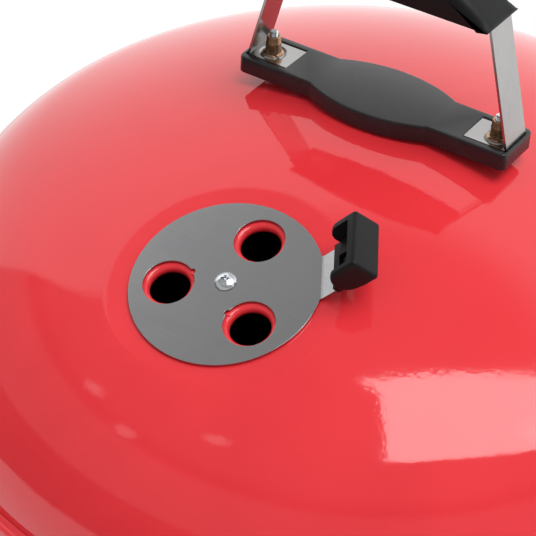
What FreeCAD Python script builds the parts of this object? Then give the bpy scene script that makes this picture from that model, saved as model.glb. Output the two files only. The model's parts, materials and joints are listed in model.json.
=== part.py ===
"""A free-standing kettle charcoal grill, built piece by piece in millimetres.

The frame stands on the ground at z = 0 under the middle of the kettle: +Z is up, the lid handle lies along
X, and the lid damper, the front leg and the cook are on the -Y side.  Each piece is one object with a Label
of its own.
"""
import FreeCAD, Part
import math
import os
from types import SimpleNamespace

import Sketcher

V = FreeCAD.Vector
X_AXIS, Y_AXIS, Z_AXIS = V(1, 0, 0), V(0, 1, 0), V(0, 0, 1)
ORIGIN = V(0, 0, 0)

DIMENSIONS = {
    # kettle
    "rim_height": 722, "kettle_radius": 283, "lid_rise": 162, "lid_knuckle": 125, "bowl_depth": 235,
    "bowl_knuckle": 100, "sheet": 1,
    "bead_radius": 4, "lid_gap": 0.3, "skirt_gap": 1, "skirt_drop": 14,
    "vent_radius": 17, "vent_circle": 58, "through": 60,
    # damper on the lid, in the plane of its flat seat
    "damper_reach": 162.6, "seat_sink": 4.9, "damper_radius": 55, "damper_sheet": 1.2, "damper_gap": 0.9,
    "port_circle": 32.4, "port_radius": 11.6, "collar_wall": 1.2, "collar_depth": 5,
    "damper_port_radius": 14.75,
    "notch_circle": 21, "notch_radius": 2.4, "nub_radius": 1.8, "nub_rise": 0.6,
    "tab_width": 29, "tab_length": 38, "tab_start": 54.1, "tab_turn": 29.8, "tab_rise": 40,
    "stop_turn": 20.7,
    "damper_shank": 2.6, "damper_bore": 2.65,
    "damper_head": 6.2,
    # the grip on the damper's tab, along the tab and square to it
    "clip_width": 36.6, "clip_cheek": 4.3, "clip_web_start": 10, "clip_web_length": 28, "clip_web_low": 2,
    "clip_web_thick": 5, "clip_wall_start": 34, "clip_wall_thick": 8, "clip_wall_low": 2.5, "clip_top": 14,
    "cheek_start": 23, "cheek_low": 5, "cheek_nose": 9, "clip_window_start": 15, "clip_window": 12,
    # lid handle, heights counted from the top of the lid
    "shield_top": 12.1, "shield_under": 3.4, "shield_skin": 2.5, "shield_half_length": 91.2,
    "shield_half_width": 17.4, "bulge_half_length": 40.6, "bulge_crown": 10.4, "shield_corner": 4,
    "window_start": 61.3, "window_end": 90, "window_half_width": 13,
    "strap_width": 24, "strap_lean": 14.6, "strap_flange": 32, "strap_foot_start": 46, "strap_sheet": 2,
    "strap_foot": 8.6, "strap_bend": 3.5,
    "stud_place": 77, "stud_radius": 2.6, "shoulder_radius": 6, "dish_radius": 9.5, "stud_top": 26.2,
    "nut_flange": 6.7, "nut_barrel": 5, "nut_neck": 4.3, "nut_top": 23,
    "grip_under": 85, "grip_end": 4, "grip_crown": 30, "grip_width": 36, "grip_length": 148,
    "grip_screw_place": 56,
    "grip_screw": 2.5, "grip_screw_head": 5, "grip_screw_length": 14, "grip_round": 7,
    # legs and wheels
    "leg_radius": 12.7, "leg_wall": 1.5, "leg_top_reach": 180, "leg_foot_reach": 265, "leg_top_height": 535,
    "socket_radius": 15.2, "socket_bottom": 488, "leg_end_height": 514, "foot_radius": 17, "foot_height": 30,
    "leg_screw": 2, "leg_screw_head": 4.5, "leg_screw_height": 500,
    "axle_height": 76, "axle_radius": 5, "axle_half_length": 284, "rear_leg_end": 58,
    "wheel_middle": 259, "wheel_rim": 64, "wheel_half_width": 17, "hub_radius": 15, "hub_half_width": 18,
    "hub_bore": 5.08, "tyre_radius": 76, "tyre_half_width": 19, "spoke_hole": 10, "spoke_circle": 37,
    "cap_radius": 11, "cap_thick": 5,
    # shelf and ash pan
    "rack_height": 200, "rack_reach": 219, "rack_rod": 3, "rack_wire": 2, "rack_pitch": 26,
    "collar_radius": 15.2, "rack_collar_height": 16,
    "pan_top": 440, "pan_depth": 28, "pan_rim": 176, "pan_wall": 165, "pan_floor": 146, "pan_sheet": 1,
    "arm_width": 14, "arm_sheet": 2, "arm_start": 167.5,
    # ash sweeper
    "shaft_radius": 5, "bush_bore": 5.05, "bush_radius": 8, "bush_flange": 12, "shaft_head": 9,
    "blade_gap": 0.6, "blade_sheet": 1.5, "blade_reach": 96, "blade_width": 42, "blade_hub": 16,
    "lever_top": 468, "lever_sheet": 3, "lever_width": 16, "lever_reach": 238, "lever_turn": -60,
    "sweeper_grip_length": 62, "sweeper_grip_width": 24, "sweeper_grip_thick": 13,
    # grates
    "charcoal_level": 575, "charcoal_radius": 208, "charcoal_rod": 3.2, "charcoal_pitch": 22,
    "cooking_level": 686, "cooking_radius": 266, "cooking_rod": 3, "cooking_pitch": 15, "flap_hinge": 165,
    "ring_width": 5, "ring_height": 7, "cross_top": 2.4, "cross_height": 4, "cross_width": 5,
    "flap_gap": 2.5,
    "eye_bore": 3.35, "eye_radius": 6.4, "eye_width": 6, "eye_reach": 4.5, "charcoal_cross": 80,
    "main_cross": 100, "flap_cross": 52, "loop_rise": 28, "loop_half_width": 45, "loop_rod": 2.2,
    "tab_sheet": 1.5, "tab_side": 18, "tab_drop": 16, "charcoal_tab_start": 194, "cooking_tab_start": 250,
    # bowl handles
    "handle_height": 682, "handle_rod": 4, "handle_out": 336, "handle_half_span": 72, "handle_bend": 18,
    "handle_grip_radius": 13, "handle_grip_length": 100,
}

doc = FreeCAD.newDocument("kettle_grill")
sheet = doc.addObject("Spreadsheet::Sheet", "dims")
for row, (alias, size) in enumerate(DIMENSIONS.items(), start=1):
    sheet.set(f"A{row}", alias)
    sheet.set(f"B{row}", str(size))
    sheet.setAlias(f"B{row}", alias)
doc.recompute()
D = SimpleNamespace(**{alias: float(sheet.get(alias)) for alias in DIMENSIONS})

nodes = []


# ---------------------------------------------------------------- helpers
def at(x, y, z, axis=Z_AXIS, angle=0):
    """A Placement at a point, turned about an axis by degrees."""
    return FreeCAD.Placement(V(x, y, z), FreeCAD.Rotation(axis, angle))


def spun(angle, place):
    """A Placement carried round the kettle's axis."""
    return at(0, 0, 0, Z_AXIS, angle) * place


def node(item, label):
    """Gives a finished piece its name and adds it to the written ones."""
    item.Label = label
    nodes.append(item)
    return item


def primitive(kind, place, **sizes):
    """A Part primitive whose sizes are expressions of the sheet."""
    item = doc.addObject("Part::" + kind, kind.lower())
    for name, text in sizes.items():
        item.setExpression(name, text)
    item.recompute()
    item.Placement = place
    return item


def cylinder(radius, height, place):
    return primitive("Cylinder", place, Radius=radius, Height=height)


def box(length, width, height, place):
    """A box centred on its placement in X and Y, standing on it in Z."""
    item = primitive("Box", place, Length=length, Width=width, Height=height)
    item.Placement = place * at(-item.Length.Value / 2, -item.Width.Value / 2, 0)
    return item


def rod(radius, start, end):
    """A straight round rod between two points."""
    item = doc.addObject("Part::Cylinder", "rod")
    item.setExpression("Radius", radius)
    item.Height = (end - start).Length
    item.Placement = FreeCAD.Placement(start, FreeCAD.Rotation(Z_AXIS, end - start))
    return item


def join(name, *pieces):
    item = doc.addObject("Part::MultiFuse", name)
    item.Shapes = list(pieces)
    return item


def cut(name, base, *tools):
    item = doc.addObject("Part::Cut", name)
    item.Base = base
    item.Tool = tools[0] if len(tools) == 1 else join(name + "_tools", *tools)
    return item


def common(name, first, second):
    item = doc.addObject("Part::Common", name)
    item.Base, item.Tool = first, second
    return item


def compound(name, pieces):
    item = doc.addObject("Part::Compound", name)
    item.Links = list(pieces)
    return item


def new_sketch(body, role):
    """A sketch on one of the body's own origin planes."""
    plane = next(f for f in body.Origin.OriginFeatures if f.Role == role)
    sketch = body.newObject("Sketcher::SketchObject", body.Name + "_sketch")
    sketch.AttachmentSupport = (plane, "")
    sketch.MapMode = "FlatFace"
    return sketch


def draw_polygon(sketch, corners):
    """A closed outline whose corners sit at coordinates given as expressions."""
    count = len(corners)
    start = [V(math.cos(i * math.tau / count), math.sin(i * math.tau / count), 0) for i in range(count)]
    for i in range(count):
        sketch.addGeometry(Part.LineSegment(start[i], start[(i + 1) % count]))
    for i in range(count):
        sketch.addConstraint(Sketcher.Constraint("Coincident", i, 2, (i + 1) % count, 1))
    for i, corner in enumerate(corners):
        for kind, text in zip(("DistanceX", "DistanceY"), corner):
            index = sketch.addConstraint(Sketcher.Constraint(kind, -1, 1, i, 1, 1.0))
            sketch.setExpression(f"Constraints[{index}]", text)


def revolve(name, sketch, body, angle=360.0):
    feature = body.newObject("PartDesign::Revolution", name + "_turn")
    feature.Profile = sketch
    feature.ReferenceAxis = (sketch, ["V_Axis"])
    feature.Midplane = angle < 360
    feature.Angle = angle
    return feature


def turned(name, outline, place=None, angle=360.0):
    """A piece turned about its own Z axis from (radius, height) expressions; a part turn is centred on X."""
    body = doc.addObject("PartDesign::Body", name)
    sketch = new_sketch(body, "XZ_Plane")
    draw_polygon(sketch, outline)
    revolve(name, sketch, body, angle)
    body.Placement = place or at(0, 0, 0)
    return body


def pad(name, sketch, body, length, midplane=True):
    feature = body.newObject("PartDesign::Pad", name + "_pad")
    feature.Profile = sketch
    feature.setExpression("Length", length)
    feature.Midplane = midplane
    return feature


def crown_radius(radius, rise, knuckle):
    """Radius of the crown arc that runs tangent into a knuckle arc at the rim."""
    return (radius ** 2 + rise ** 2 - 2 * radius * knuckle) / (2 * (rise - knuckle))


def profile_height(reach, radius, rise, knuckle):
    """Height of the pressed profile over its rim at a distance from the axis."""
    crown = crown_radius(radius, rise, knuckle)
    meeting = crown * (radius - knuckle) / (crown - knuckle)
    if reach <= meeting:
        return rise - crown + math.sqrt(crown ** 2 - reach ** 2)
    return math.sqrt(knuckle ** 2 - (reach - radius + knuckle) ** 2)


def pressed_solid(name, radius, rise, knuckle, level, upper):
    """The solid under a pressed dome, or over a bowl: a crown arc and a tangent knuckle arc, turned."""
    body = doc.addObject("PartDesign::Body", name)
    sketch = new_sketch(body, "XZ_Plane")
    crown = crown_radius(radius, rise, knuckle)
    lean = math.atan2(radius - knuckle, crown - rise)
    way = 1 if upper else -1

    def on_crown(angle):
        return V(crown * math.sin(angle), way * (rise - crown + crown * math.cos(angle)), 0)

    def on_knuckle(angle):
        return V(radius - knuckle + knuckle * math.sin(angle), way * knuckle * math.cos(angle), 0)

    pole, meeting, rim = V(0, way * rise, 0), on_crown(lean), V(radius, 0, 0)
    sketch.addGeometry([Part.Arc(pole, on_crown(lean / 2), meeting),
                        Part.Arc(meeting, on_knuckle((lean + math.pi / 2) / 2), rim),
                        Part.LineSegment(rim, ORIGIN), Part.LineSegment(ORIGIN, pole)])
    revolve(name, sketch, body)
    body.Placement = at(0, 0, level)
    return body


def rounded_line(points, bends):
    """Straight runs joined by a tangent arc at each inner point, as sketch geometry."""
    geometry, start = [], points[0]
    for before, corner, after, bend in zip(points, points[1:], points[2:], bends):
        into, out = (corner - before).normalize(), (after - corner).normalize()
        half = into.getAngle(out) / 2
        trim = bend * math.tan(half)
        first, last = corner - into * trim, corner + out * trim
        middle = corner + (out - into).normalize() * (bend / math.cos(half) - bend)
        geometry += [Part.LineSegment(start, first), Part.Arc(first, middle, last)]
        start = last
    return geometry + [Part.LineSegment(start, points[-1])]


def bent_rod(name, points, bend, radius):
    """A round rod bent along straight runs and arcs."""
    route = doc.addObject("Part::Feature", name + "_route")
    route.Shape = Part.Wire([piece.toShape() for piece in rounded_line(points, [bend] * (len(points) - 2))])
    ring = doc.addObject("Part::Circle", name + "_ring")
    ring.setExpression("Radius", radius)
    ring.Placement = FreeCAD.Placement(points[0], FreeCAD.Rotation(Z_AXIS, points[1] - points[0]))
    item = doc.addObject("Part::Sweep", name)
    item.Sections, item.Spine, item.Solid = [ring], (route, []), True
    return item


def shifted_corners(points, shift):
    """The corners of a line moved sideways, to the left of its direction."""
    corners = []
    for i, point in enumerate(points):
        before = points[i] - points[i - 1] if i else points[1] - points[0]
        after = points[i + 1] - points[i] if i + 1 < len(points) else before
        left = V(-before.y, before.x, 0).normalize() + V(-after.y, after.x, 0).normalize()
        corners.append(point + left * (2 * shift / left.Length ** 2))
    return corners


def strap(name, path, bend, thickness, width):
    """A flat strip bent along a centre line in the XZ plane; its width runs along Y."""
    body = doc.addObject("PartDesign::Body", name)
    sketch = new_sketch(body, "XZ_Plane")
    points = [V(x, z, 0) for x, z in path]
    turns = [(b - a).cross(c - b).z for a, b, c in zip(points, points[1:], points[2:])]
    sides = []
    for shift in (thickness / 2, -thickness / 2):
        bends = [bend - shift * math.copysign(1, turn) for turn in turns]
        sides.append(rounded_line(shifted_corners(points, shift), bends))
    sketch.addGeometry(sides[0] + sides[1])
    for end in (0, -1):
        first, second = (shifted_corners(points, shift)[end] for shift in (thickness / 2, -thickness / 2))
        sketch.addGeometry(Part.LineSegment(first, second))
    pad(name, sketch, body, width)
    return body


def hexagon_nut(across, bore, thickness, place):
    """A plain hexagon nut standing on its placement."""
    blank = primitive("Prism", place, Polygon="6", Circumradius=across, Height=thickness)
    return cut("nut", blank, cylinder(bore, thickness, place))


# ---------------------------------------------------------------- the kettle's bowl
APEX = D.rim_height + D.lid_rise
BEAD_LEVEL = D.rim_height - D.lid_gap - D.bead_radius


def bowl_height(reach):
    """Height of the bowl's outer skin at a distance from the kettle's axis."""
    return BEAD_LEVEL - profile_height(reach, D.kettle_radius, D.bowl_depth, D.bowl_knuckle)


def bowl_solid(name, shrink=0.0):
    """The bowl's outer solid, or one a little smaller."""
    return pressed_solid(name, D.kettle_radius - shrink, D.bowl_depth - shrink, D.bowl_knuckle - shrink,
                         BEAD_LEVEL, upper=False)


VENT_ANGLES = (30, 150, 270)


def build_bowl():
    outside, inside = bowl_solid("bowl_outside"), bowl_solid("bowl_inside", D.sheet)
    bead = primitive("Torus", at(0, 0, BEAD_LEVEL), Radius1="dims.kettle_radius", Radius2="dims.bead_radius")
    wall = join("bowl_wall", cut("bowl_skin", outside, inside), bead)
    floor = bowl_height(0) - 10
    holes = [cylinder("dims.bush_radius", "dims.through", at(0, 0, floor))]
    for angle in VENT_ANGLES:
        holes.append(cylinder("dims.vent_radius", "dims.through", spun(angle, at(D.vent_circle, 0, floor))))
    node(cut("bowl", wall, *holes), "bowl_shell")


def wall_tabs(name, angles, start, level):
    """Folded tabs welded to the inside of the bowl, their tops level."""
    inside = bowl_solid(name + "_limit", D.sheet)
    blanks = []
    for angle in angles:
        middle = (float(start) + D.kettle_radius) / 2
        length = str(D.kettle_radius - float(start))
        shelf = spun(angle, at(middle, 0, level - D.tab_sheet))
        blanks.append(box(length, "dims.tab_side", "dims.tab_sheet", shelf))
        for side in (-1, 1):
            web = spun(angle, at(middle + 5, side * (D.tab_side - D.tab_sheet) / 2, level - D.tab_drop))
            blanks.append(box(f"{length} - 10", "dims.tab_sheet", "dims.tab_drop", web))
    return common(name, join(name + "_blanks", *blanks), inside)


# ---------------------------------------------------------------- legs, wheels and shelf
LEG_ANGLES = {"leg_front": -90, "leg_rear_right": 30, "leg_rear_left": 150}


def leg_reach(height):
    """How far a leg's centre line stands out at a height."""
    return D.leg_foot_reach + (D.leg_top_reach - D.leg_foot_reach) * height / D.leg_top_height


def leg_point(height, angle=0):
    return spun(angle, at(leg_reach(height), 0, height)).Base


def leg_bar(radius, low, high, angle):
    """A solid bar on a leg's centre line."""
    return rod(radius, leg_point(low, angle), leg_point(high, angle))


def leg_screw_parts(angle):
    """The shank and head of a screw driven square into a socket from outside."""
    lean = math.degrees(math.atan2(D.leg_foot_reach - D.leg_top_reach, D.leg_top_height))
    place = spun(angle, at(leg_reach(D.leg_screw_height), 0, D.leg_screw_height, Y_AXIS, 90 - lean))
    shank = cylinder("dims.leg_screw", "dims.socket_radius + 1", place * at(0, 0, 0))
    head = cylinder("dims.leg_screw_head", "2.6", place * at(0, 0, D.socket_radius))
    return shank, head


def axle_bar(radius="dims.axle_radius"):
    place = at(-D.axle_half_length, leg_point(D.axle_height, 30).y, D.axle_height, Y_AXIS, 90)
    return cylinder(radius, "2 * dims.axle_half_length", place)


def build_legs():
    sockets, screws, plugs = [], [], []
    for label, angle in LEG_ANGLES.items():
        low = 6 if label == "leg_front" else D.rear_leg_end
        shank, head = leg_screw_parts(angle)
        holes = [leg_bar("dims.leg_radius - dims.leg_wall", low, D.leg_end_height, angle), shank]
        if label != "leg_front":
            holes.append(axle_bar())
        node(cut(label, leg_bar("dims.leg_radius", low, D.leg_end_height, angle), *holes), label)
        sleeve = leg_bar("dims.socket_radius", D.socket_bottom, D.leg_top_height + 30, angle)
        hollow = leg_bar("dims.leg_radius", D.socket_bottom, D.leg_top_height + 30, angle)
        sockets.append(cut("socket", sleeve, hollow, shank, bowl_solid("bowl_trim")))
        screws.append(join("leg_screw", shank, head))
        if label != "leg_front":
            plug = join("plug_whole", leg_bar("dims.leg_radius", low - 4, low, angle),
                        leg_bar("dims.leg_radius - dims.leg_wall", low - 4, low + 8, angle))
            plugs.append(plug)
    node(compound("sockets", sockets), "leg_sockets")
    node(compound("screws", screws), "leg_screws")
    node(compound("plugs", plugs), "leg_plugs")
    outline = [("0", "0"), ("dims.foot_radius - 2", "0"), ("dims.foot_radius", "2"),
               ("dims.foot_radius", "dims.foot_height"), ("0", "dims.foot_height")]
    foot = leg_point(D.foot_height / 2, -90)
    cap = turned("foot_blank", outline, at(foot.x, foot.y, 0))
    node(cut("foot", cap, leg_bar("dims.leg_radius", 6, D.foot_height + 20, -90)), "front_foot")


def build_wheels():
    node(axle_bar(), "axle")
    rim = [("0", "-dims.hub_half_width"), ("dims.hub_radius", "-dims.hub_half_width"),
           ("dims.hub_radius", "-3"),
           ("dims.wheel_rim - 6", "-3"), ("dims.wheel_rim - 6", "-dims.wheel_half_width"),
           ("dims.wheel_rim", "-dims.wheel_half_width"), ("dims.wheel_rim", "dims.wheel_half_width"),
           ("dims.wheel_rim - 6", "dims.wheel_half_width"), ("dims.wheel_rim - 6", "3"),
           ("dims.hub_radius", "3"), ("dims.hub_radius", "dims.hub_half_width"),
           ("0", "dims.hub_half_width")]
    tread = [("dims.wheel_rim", "-dims.wheel_half_width"), ("dims.tyre_radius - 4", "-dims.tyre_half_width"),
             ("dims.tyre_radius", "4 - dims.tyre_half_width"),
             ("dims.tyre_radius", "dims.tyre_half_width - 4"),
             ("dims.tyre_radius - 4", "dims.tyre_half_width"), ("dims.wheel_rim", "dims.wheel_half_width")]
    caps = []
    rear = leg_point(D.axle_height, 30).y
    for side, x in (("left", -D.wheel_middle), ("right", D.wheel_middle)):
        place = at(x, rear, D.axle_height, Y_AXIS, 90)
        holes = [cylinder("dims.hub_bore", "dims.through", place * at(0, 0, -D.through / 2))]
        for k in range(6):
            window = place * spun(60 * k, at(D.spoke_circle, 0, -D.through / 2))
            holes.append(cylinder("dims.spoke_hole", "dims.through", window))
        node(cut("wheel", turned("wheel_blank", rim, place), *holes), "wheel_" + side)
        node(turned("tyre", tread, place), "tyre_" + side)
        outer = math.copysign(D.axle_half_length - 6, x)
        cap = at(outer, rear, D.axle_height, Y_AXIS, math.copysign(90, x))
        hollow = cylinder("dims.axle_radius", "6", cap)
        caps.append(cut("cap", cylinder("dims.cap_radius", "dims.cap_thick + 3", cap), hollow))
    node(compound("caps", caps), "axle_caps")


def leg_collar(height, thick, angle):
    """A ring clamped round a leg."""
    blank = leg_bar("dims.collar_radius", height - thick / 2, height + thick / 2, angle)
    return cut("collar", blank, leg_bar("dims.leg_radius", height - 40, height + 40, angle))


def build_rack():
    """A three-cornered wire shelf hung between the legs."""
    high = D.rack_height
    corners = [spun(angle, at(D.rack_reach, 0, high)).Base for angle in LEG_ANGLES.values()]
    pieces = [rod("dims.rack_rod", a, b) for a, b in zip(corners, corners[1:] + corners[:1])]
    pieces += [primitive("Sphere", at(*corner), Radius="dims.rack_rod") for corner in corners]
    prism = primitive("Prism", at(0, 0, high - 20, Z_AXIS, 30), Polygon="3", Circumradius="dims.rack_reach",
                      Height="40")
    count = int(D.rack_reach / D.rack_pitch)
    wires = []
    for k in range(-count, count + 1):
        x = k * D.rack_pitch
        wires.append(rod("dims.rack_wire", V(x, -D.rack_reach, high), V(x, D.rack_reach, high)))
    pieces.append(common("rack_wires", join("rack_wire_set", *wires), prism))
    blocks = [leg_bar("dims.collar_radius", high - 30, high + 30, angle) for angle in LEG_ANGLES.values()]
    node(cut("rack", join("rack_whole", *pieces), *blocks), "wire_shelf")
    rings = [leg_collar(high, D.rack_collar_height, angle) for angle in LEG_ANGLES.values()]
    node(compound("rack_rings", rings), "shelf_collars")


def build_ash_pan():
    top, floor = D.pan_top, D.pan_top - D.pan_depth
    outline = [("0", f"{floor}"), ("dims.pan_floor", f"{floor}"),
               ("dims.pan_wall", f"{top} - dims.pan_sheet"),
               ("dims.pan_rim", f"{top} - dims.pan_sheet"), ("dims.pan_rim", f"{top}"),
               ("dims.pan_wall - dims.pan_sheet", f"{top}"),
               ("dims.pan_floor - dims.pan_sheet", f"{floor} + dims.pan_sheet"),
               ("0", f"{floor} + dims.pan_sheet")]
    node(turned("pan", outline), "ash_pan")
    clips = []
    level = top - D.pan_sheet - D.lid_gap - D.arm_sheet
    reach = leg_reach(level)
    for angle in LEG_ANGLES.values():
        arm = box(f"{reach - D.arm_start}", "dims.arm_width", "dims.arm_sheet",
                  spun(angle, at((reach + D.arm_start) / 2, 0, level)))
        arm = cut("clip_arm", arm, leg_bar("dims.leg_radius", level - 40, level + 40, angle))
        clips.append(join("clip", leg_collar(level, 14, angle), arm))
    node(compound("clips", clips), "ash_pan_clips")


BLADE_ANGLES = (90, 210, 330)


def build_sweeper():
    """Three blades in the bowl's floor, turned from outside by a lever under the bowl."""
    floor = bowl_height(0)
    inside = floor + D.sheet
    bush = [("dims.bush_bore", f"{floor} - 4"), ("dims.bush_flange", f"{floor} - 4"),
            ("dims.bush_flange", f"{floor} - 1"), ("dims.bush_radius", f"{floor} - 1"),
            ("dims.bush_radius", f"{inside} + 0.2"), ("dims.bush_bore", f"{inside} + 0.2")]
    node(turned("bush", bush), "sweeper_bush")
    shell = cut("blade_shell", bowl_solid("blade_under", D.sheet + D.blade_gap),
                bowl_solid("blade_over", D.sheet + D.blade_gap + D.blade_sheet))
    arms = [cylinder("dims.blade_hub", "dims.through", at(0, 0, floor - 5))]
    for angle in BLADE_ANGLES:
        arms.append(box("dims.blade_reach", "dims.blade_width", "dims.through",
                        spun(angle, at(D.blade_reach / 2, 0, floor - 5))))
    blades = common("blades", shell, join("blade_arms", *arms))
    node(cut("blade_set", blades, cylinder("dims.shaft_radius", "dims.through", at(0, 0, floor - 5))),
         "sweeper_blades")
    seat = inside + D.blade_gap + D.blade_sheet + 0.4
    under = D.lever_top - D.lever_sheet
    shaft = [("0", f"{under} - 8"), ("dims.shaft_radius - 1", f"{under} - 8"),
             ("dims.shaft_radius - 1", "dims.lever_top"), ("dims.shaft_radius", "dims.lever_top"),
             ("dims.shaft_radius", f"{seat}"), ("dims.shaft_head", f"{seat}"),
             ("dims.shaft_head", f"{seat} + 3"), ("dims.shaft_head - 2", f"{seat} + 5"),
             ("0", f"{seat} + 5")]
    node(turned("shaft", shaft), "sweeper_shaft")
    turn = D.lever_turn
    arm = box("dims.lever_reach", "dims.lever_width", "dims.lever_sheet",
              spun(turn, at(D.lever_reach / 2, 0, under)))
    hub = cylinder("dims.blade_hub - 2", "dims.lever_sheet", at(0, 0, under))
    hole = cylinder("dims.shaft_radius - 1", "dims.lever_sheet", at(0, 0, under))
    lever = node(cut("lever", join("lever_blank", arm, hub), hole), "sweeper_lever")
    middle = D.lever_reach + 4 - D.sweeper_grip_length / 2
    low = under + (D.lever_sheet - D.sweeper_grip_thick) / 2
    blank = box("dims.sweeper_grip_length", "dims.sweeper_grip_width", "dims.sweeper_grip_thick",
                spun(turn, at(middle, 0, low)))
    node(cut("sweeper_hold", blank, lever), "sweeper_grip")
    node(hexagon_nut("8", "dims.shaft_radius - 1", "6", at(0, 0, under - 6)), "sweeper_nut")


# ---------------------------------------------------------------- grates
def grate_ring(radius, level, angle=360.0, turn=0):
    """The rim of a grate, or a part of it centred on a direction."""
    inner, outer = f"{radius} - dims.ring_width / 2", f"{radius} + dims.ring_width / 2"
    low, high = "-dims.ring_height / 2", "dims.ring_height / 2"
    outline = [(inner, low), (outer, low), (outer, high), (inner, high)]
    return turned("grate_ring", outline, spun(turn, at(0, 0, level)), angle)


def half_chord(reach, offset):
    return math.sqrt(reach ** 2 - offset ** 2)


def chord_rods(radius, reach, places, level):
    """Rods along Y between the two sides of a round rim."""
    return [rod(radius, V(x, -half_chord(reach, x), level), V(x, half_chord(reach, x),
                                                              level)) for x in places]


def cross_bar(start, end, y, level):
    """A flat bar along X under the rods, let a little into them."""
    low = level - D.cross_top - D.cross_height
    return box(f"{abs(end - start)}", "dims.cross_width", "dims.cross_height", at((start + end) / 2, y, low))


def build_charcoal_grate():
    level, reach = D.charcoal_level + D.lid_gap + D.ring_height / 2, D.charcoal_radius
    count = int(reach / D.charcoal_pitch)
    places = [k * D.charcoal_pitch for k in range(-count, count + 1)]
    pieces = chord_rods("dims.charcoal_rod", reach, places, level)
    for y in (-D.charcoal_cross, D.charcoal_cross):
        pieces.append(cross_bar(-half_chord(reach, y), half_chord(reach, y), y, level))
    node(join("charcoal_rods_and_ring", grate_ring("dims.charcoal_radius", level), *pieces),
         "charcoal_grate")
    angles = (45, 135, 225, 315)
    node(wall_tabs("charcoal_tab", angles, D.charcoal_tab_start, D.charcoal_level), "charcoal_grate_tabs")


def build_cooking_grate():
    """The middle part of the cooking grate and a hinged flap at each end of it."""
    level, reach = D.cooking_level + D.lid_gap + D.ring_height / 2, D.cooking_radius
    hinge, pitch = D.flap_hinge, D.cooking_pitch
    count = round(hinge / pitch)
    places = [k * pitch for k in range(-count, count + 1)]
    pieces = chord_rods("dims.cooking_rod", reach, places, level)
    pieces += [cross_bar(-hinge, hinge, y, level) for y in (-D.main_cross, D.main_cross)]
    arc = 2 * math.degrees(math.asin((hinge + D.flap_gap) / reach))
    for side in (-1, 1):
        pieces.append(grate_ring("dims.cooking_radius", level, arc, 90 * side))
        y = side * half_chord(reach, D.loop_half_width)
        wide, top = D.loop_half_width, level + D.loop_rise
        points = [V(-wide, y, level), V(-wide, y, top), V(wide, y, top), V(wide, y, level)]
        pieces.append(bent_rod("grate_loop", points, 12, "dims.loop_rod"))
    node(join("cooking_grate_whole", *pieces), "cooking_grate")
    arc = 2 * math.degrees(math.acos((hinge + 3 * D.flap_gap) / reach))
    for label, side in (("left", -1), ("right", 1)):
        places = [side * (hinge + k * pitch) for k in range(1, int((reach - hinge) / pitch) + 1)]
        pieces = chord_rods("dims.cooking_rod", reach, places, level)
        pieces.append(grate_ring("dims.cooking_radius", level, arc, 90 - 90 * side))
        for y in (-D.flap_cross, D.flap_cross):
            pieces.append(cross_bar(side * (hinge + D.eye_reach), side * half_chord(reach, y), y, level))
            eye = at(side * hinge, y + D.eye_width / 2, level, X_AXIS, 90)
            bore = cylinder("dims.eye_bore", "dims.eye_width", eye)
            pieces.append(cut("eye", cylinder("dims.eye_radius", "dims.eye_width", eye), bore))
        node(join("flap_" + label, *pieces), "grate_flap_" + label)
    node(wall_tabs("cooking_tab", range(0, 360, 60), D.cooking_tab_start, D.cooking_level),
         "cooking_grate_tabs")


def build_bowl_handles():
    for label, side in (("left", -1), ("right", 1)):
        high, span = D.handle_height, D.handle_half_span
        root, out = side * 255, side * D.handle_out
        points = [V(root, -span, high), V(out, -span, high), V(out, span, high), V(root, span, high)]
        loop = bent_rod("handle_loop", points, D.handle_bend, "dims.handle_rod")
        node(cut("handle_" + label, loop, bowl_solid("handle_trim")), "bowl_handle_" + label)
        half = D.handle_grip_length / 2
        grip = rod("dims.handle_grip_radius", V(out, -half, high), V(out, half, high))
        bore = rod("dims.handle_rod", V(out, -half, high), V(out, half, high))
        node(cut("bowl_hold", grip, bore), "bowl_grip_" + label)


# ---------------------------------------------------------------- the lid
def seat_place():
    """The middle of the damper's flat seat: its Z points out of the lid and its Y uphill."""
    high = profile_height(D.damper_reach, D.kettle_radius, D.lid_rise, D.lid_knuckle)
    tilt = math.degrees(math.asin(D.damper_reach / crown_radius(D.kettle_radius, D.lid_rise, D.lid_knuckle)))
    return at(0, -D.damper_reach, D.rim_height + high, X_AXIS, tilt) * at(0, 0, -D.seat_sink)


SEAT = seat_place()
PORT_ANGLES = (87, 207, 327)
STOP_ANGLES = (207 - D.stop_turn, 327 - D.stop_turn)


def lid_solid(name, shrink=0.0):
    """The lid's outer solid with the damper's flat cut off it, or one a little smaller."""
    dome = pressed_solid(name, D.kettle_radius - shrink, D.lid_rise - shrink, D.lid_knuckle - shrink,
                         D.rim_height, upper=True)
    return cut(name + "_flat", dome, box("240", "240", "60", SEAT * at(0, 0, -shrink)))


def seat_disc(radius, height, low, reach=0.0, angle=0.0):
    """A cylinder standing square on the damper's seat."""
    return cylinder(radius, height, SEAT * spun(angle, at(reach, 0, low)))


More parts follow.
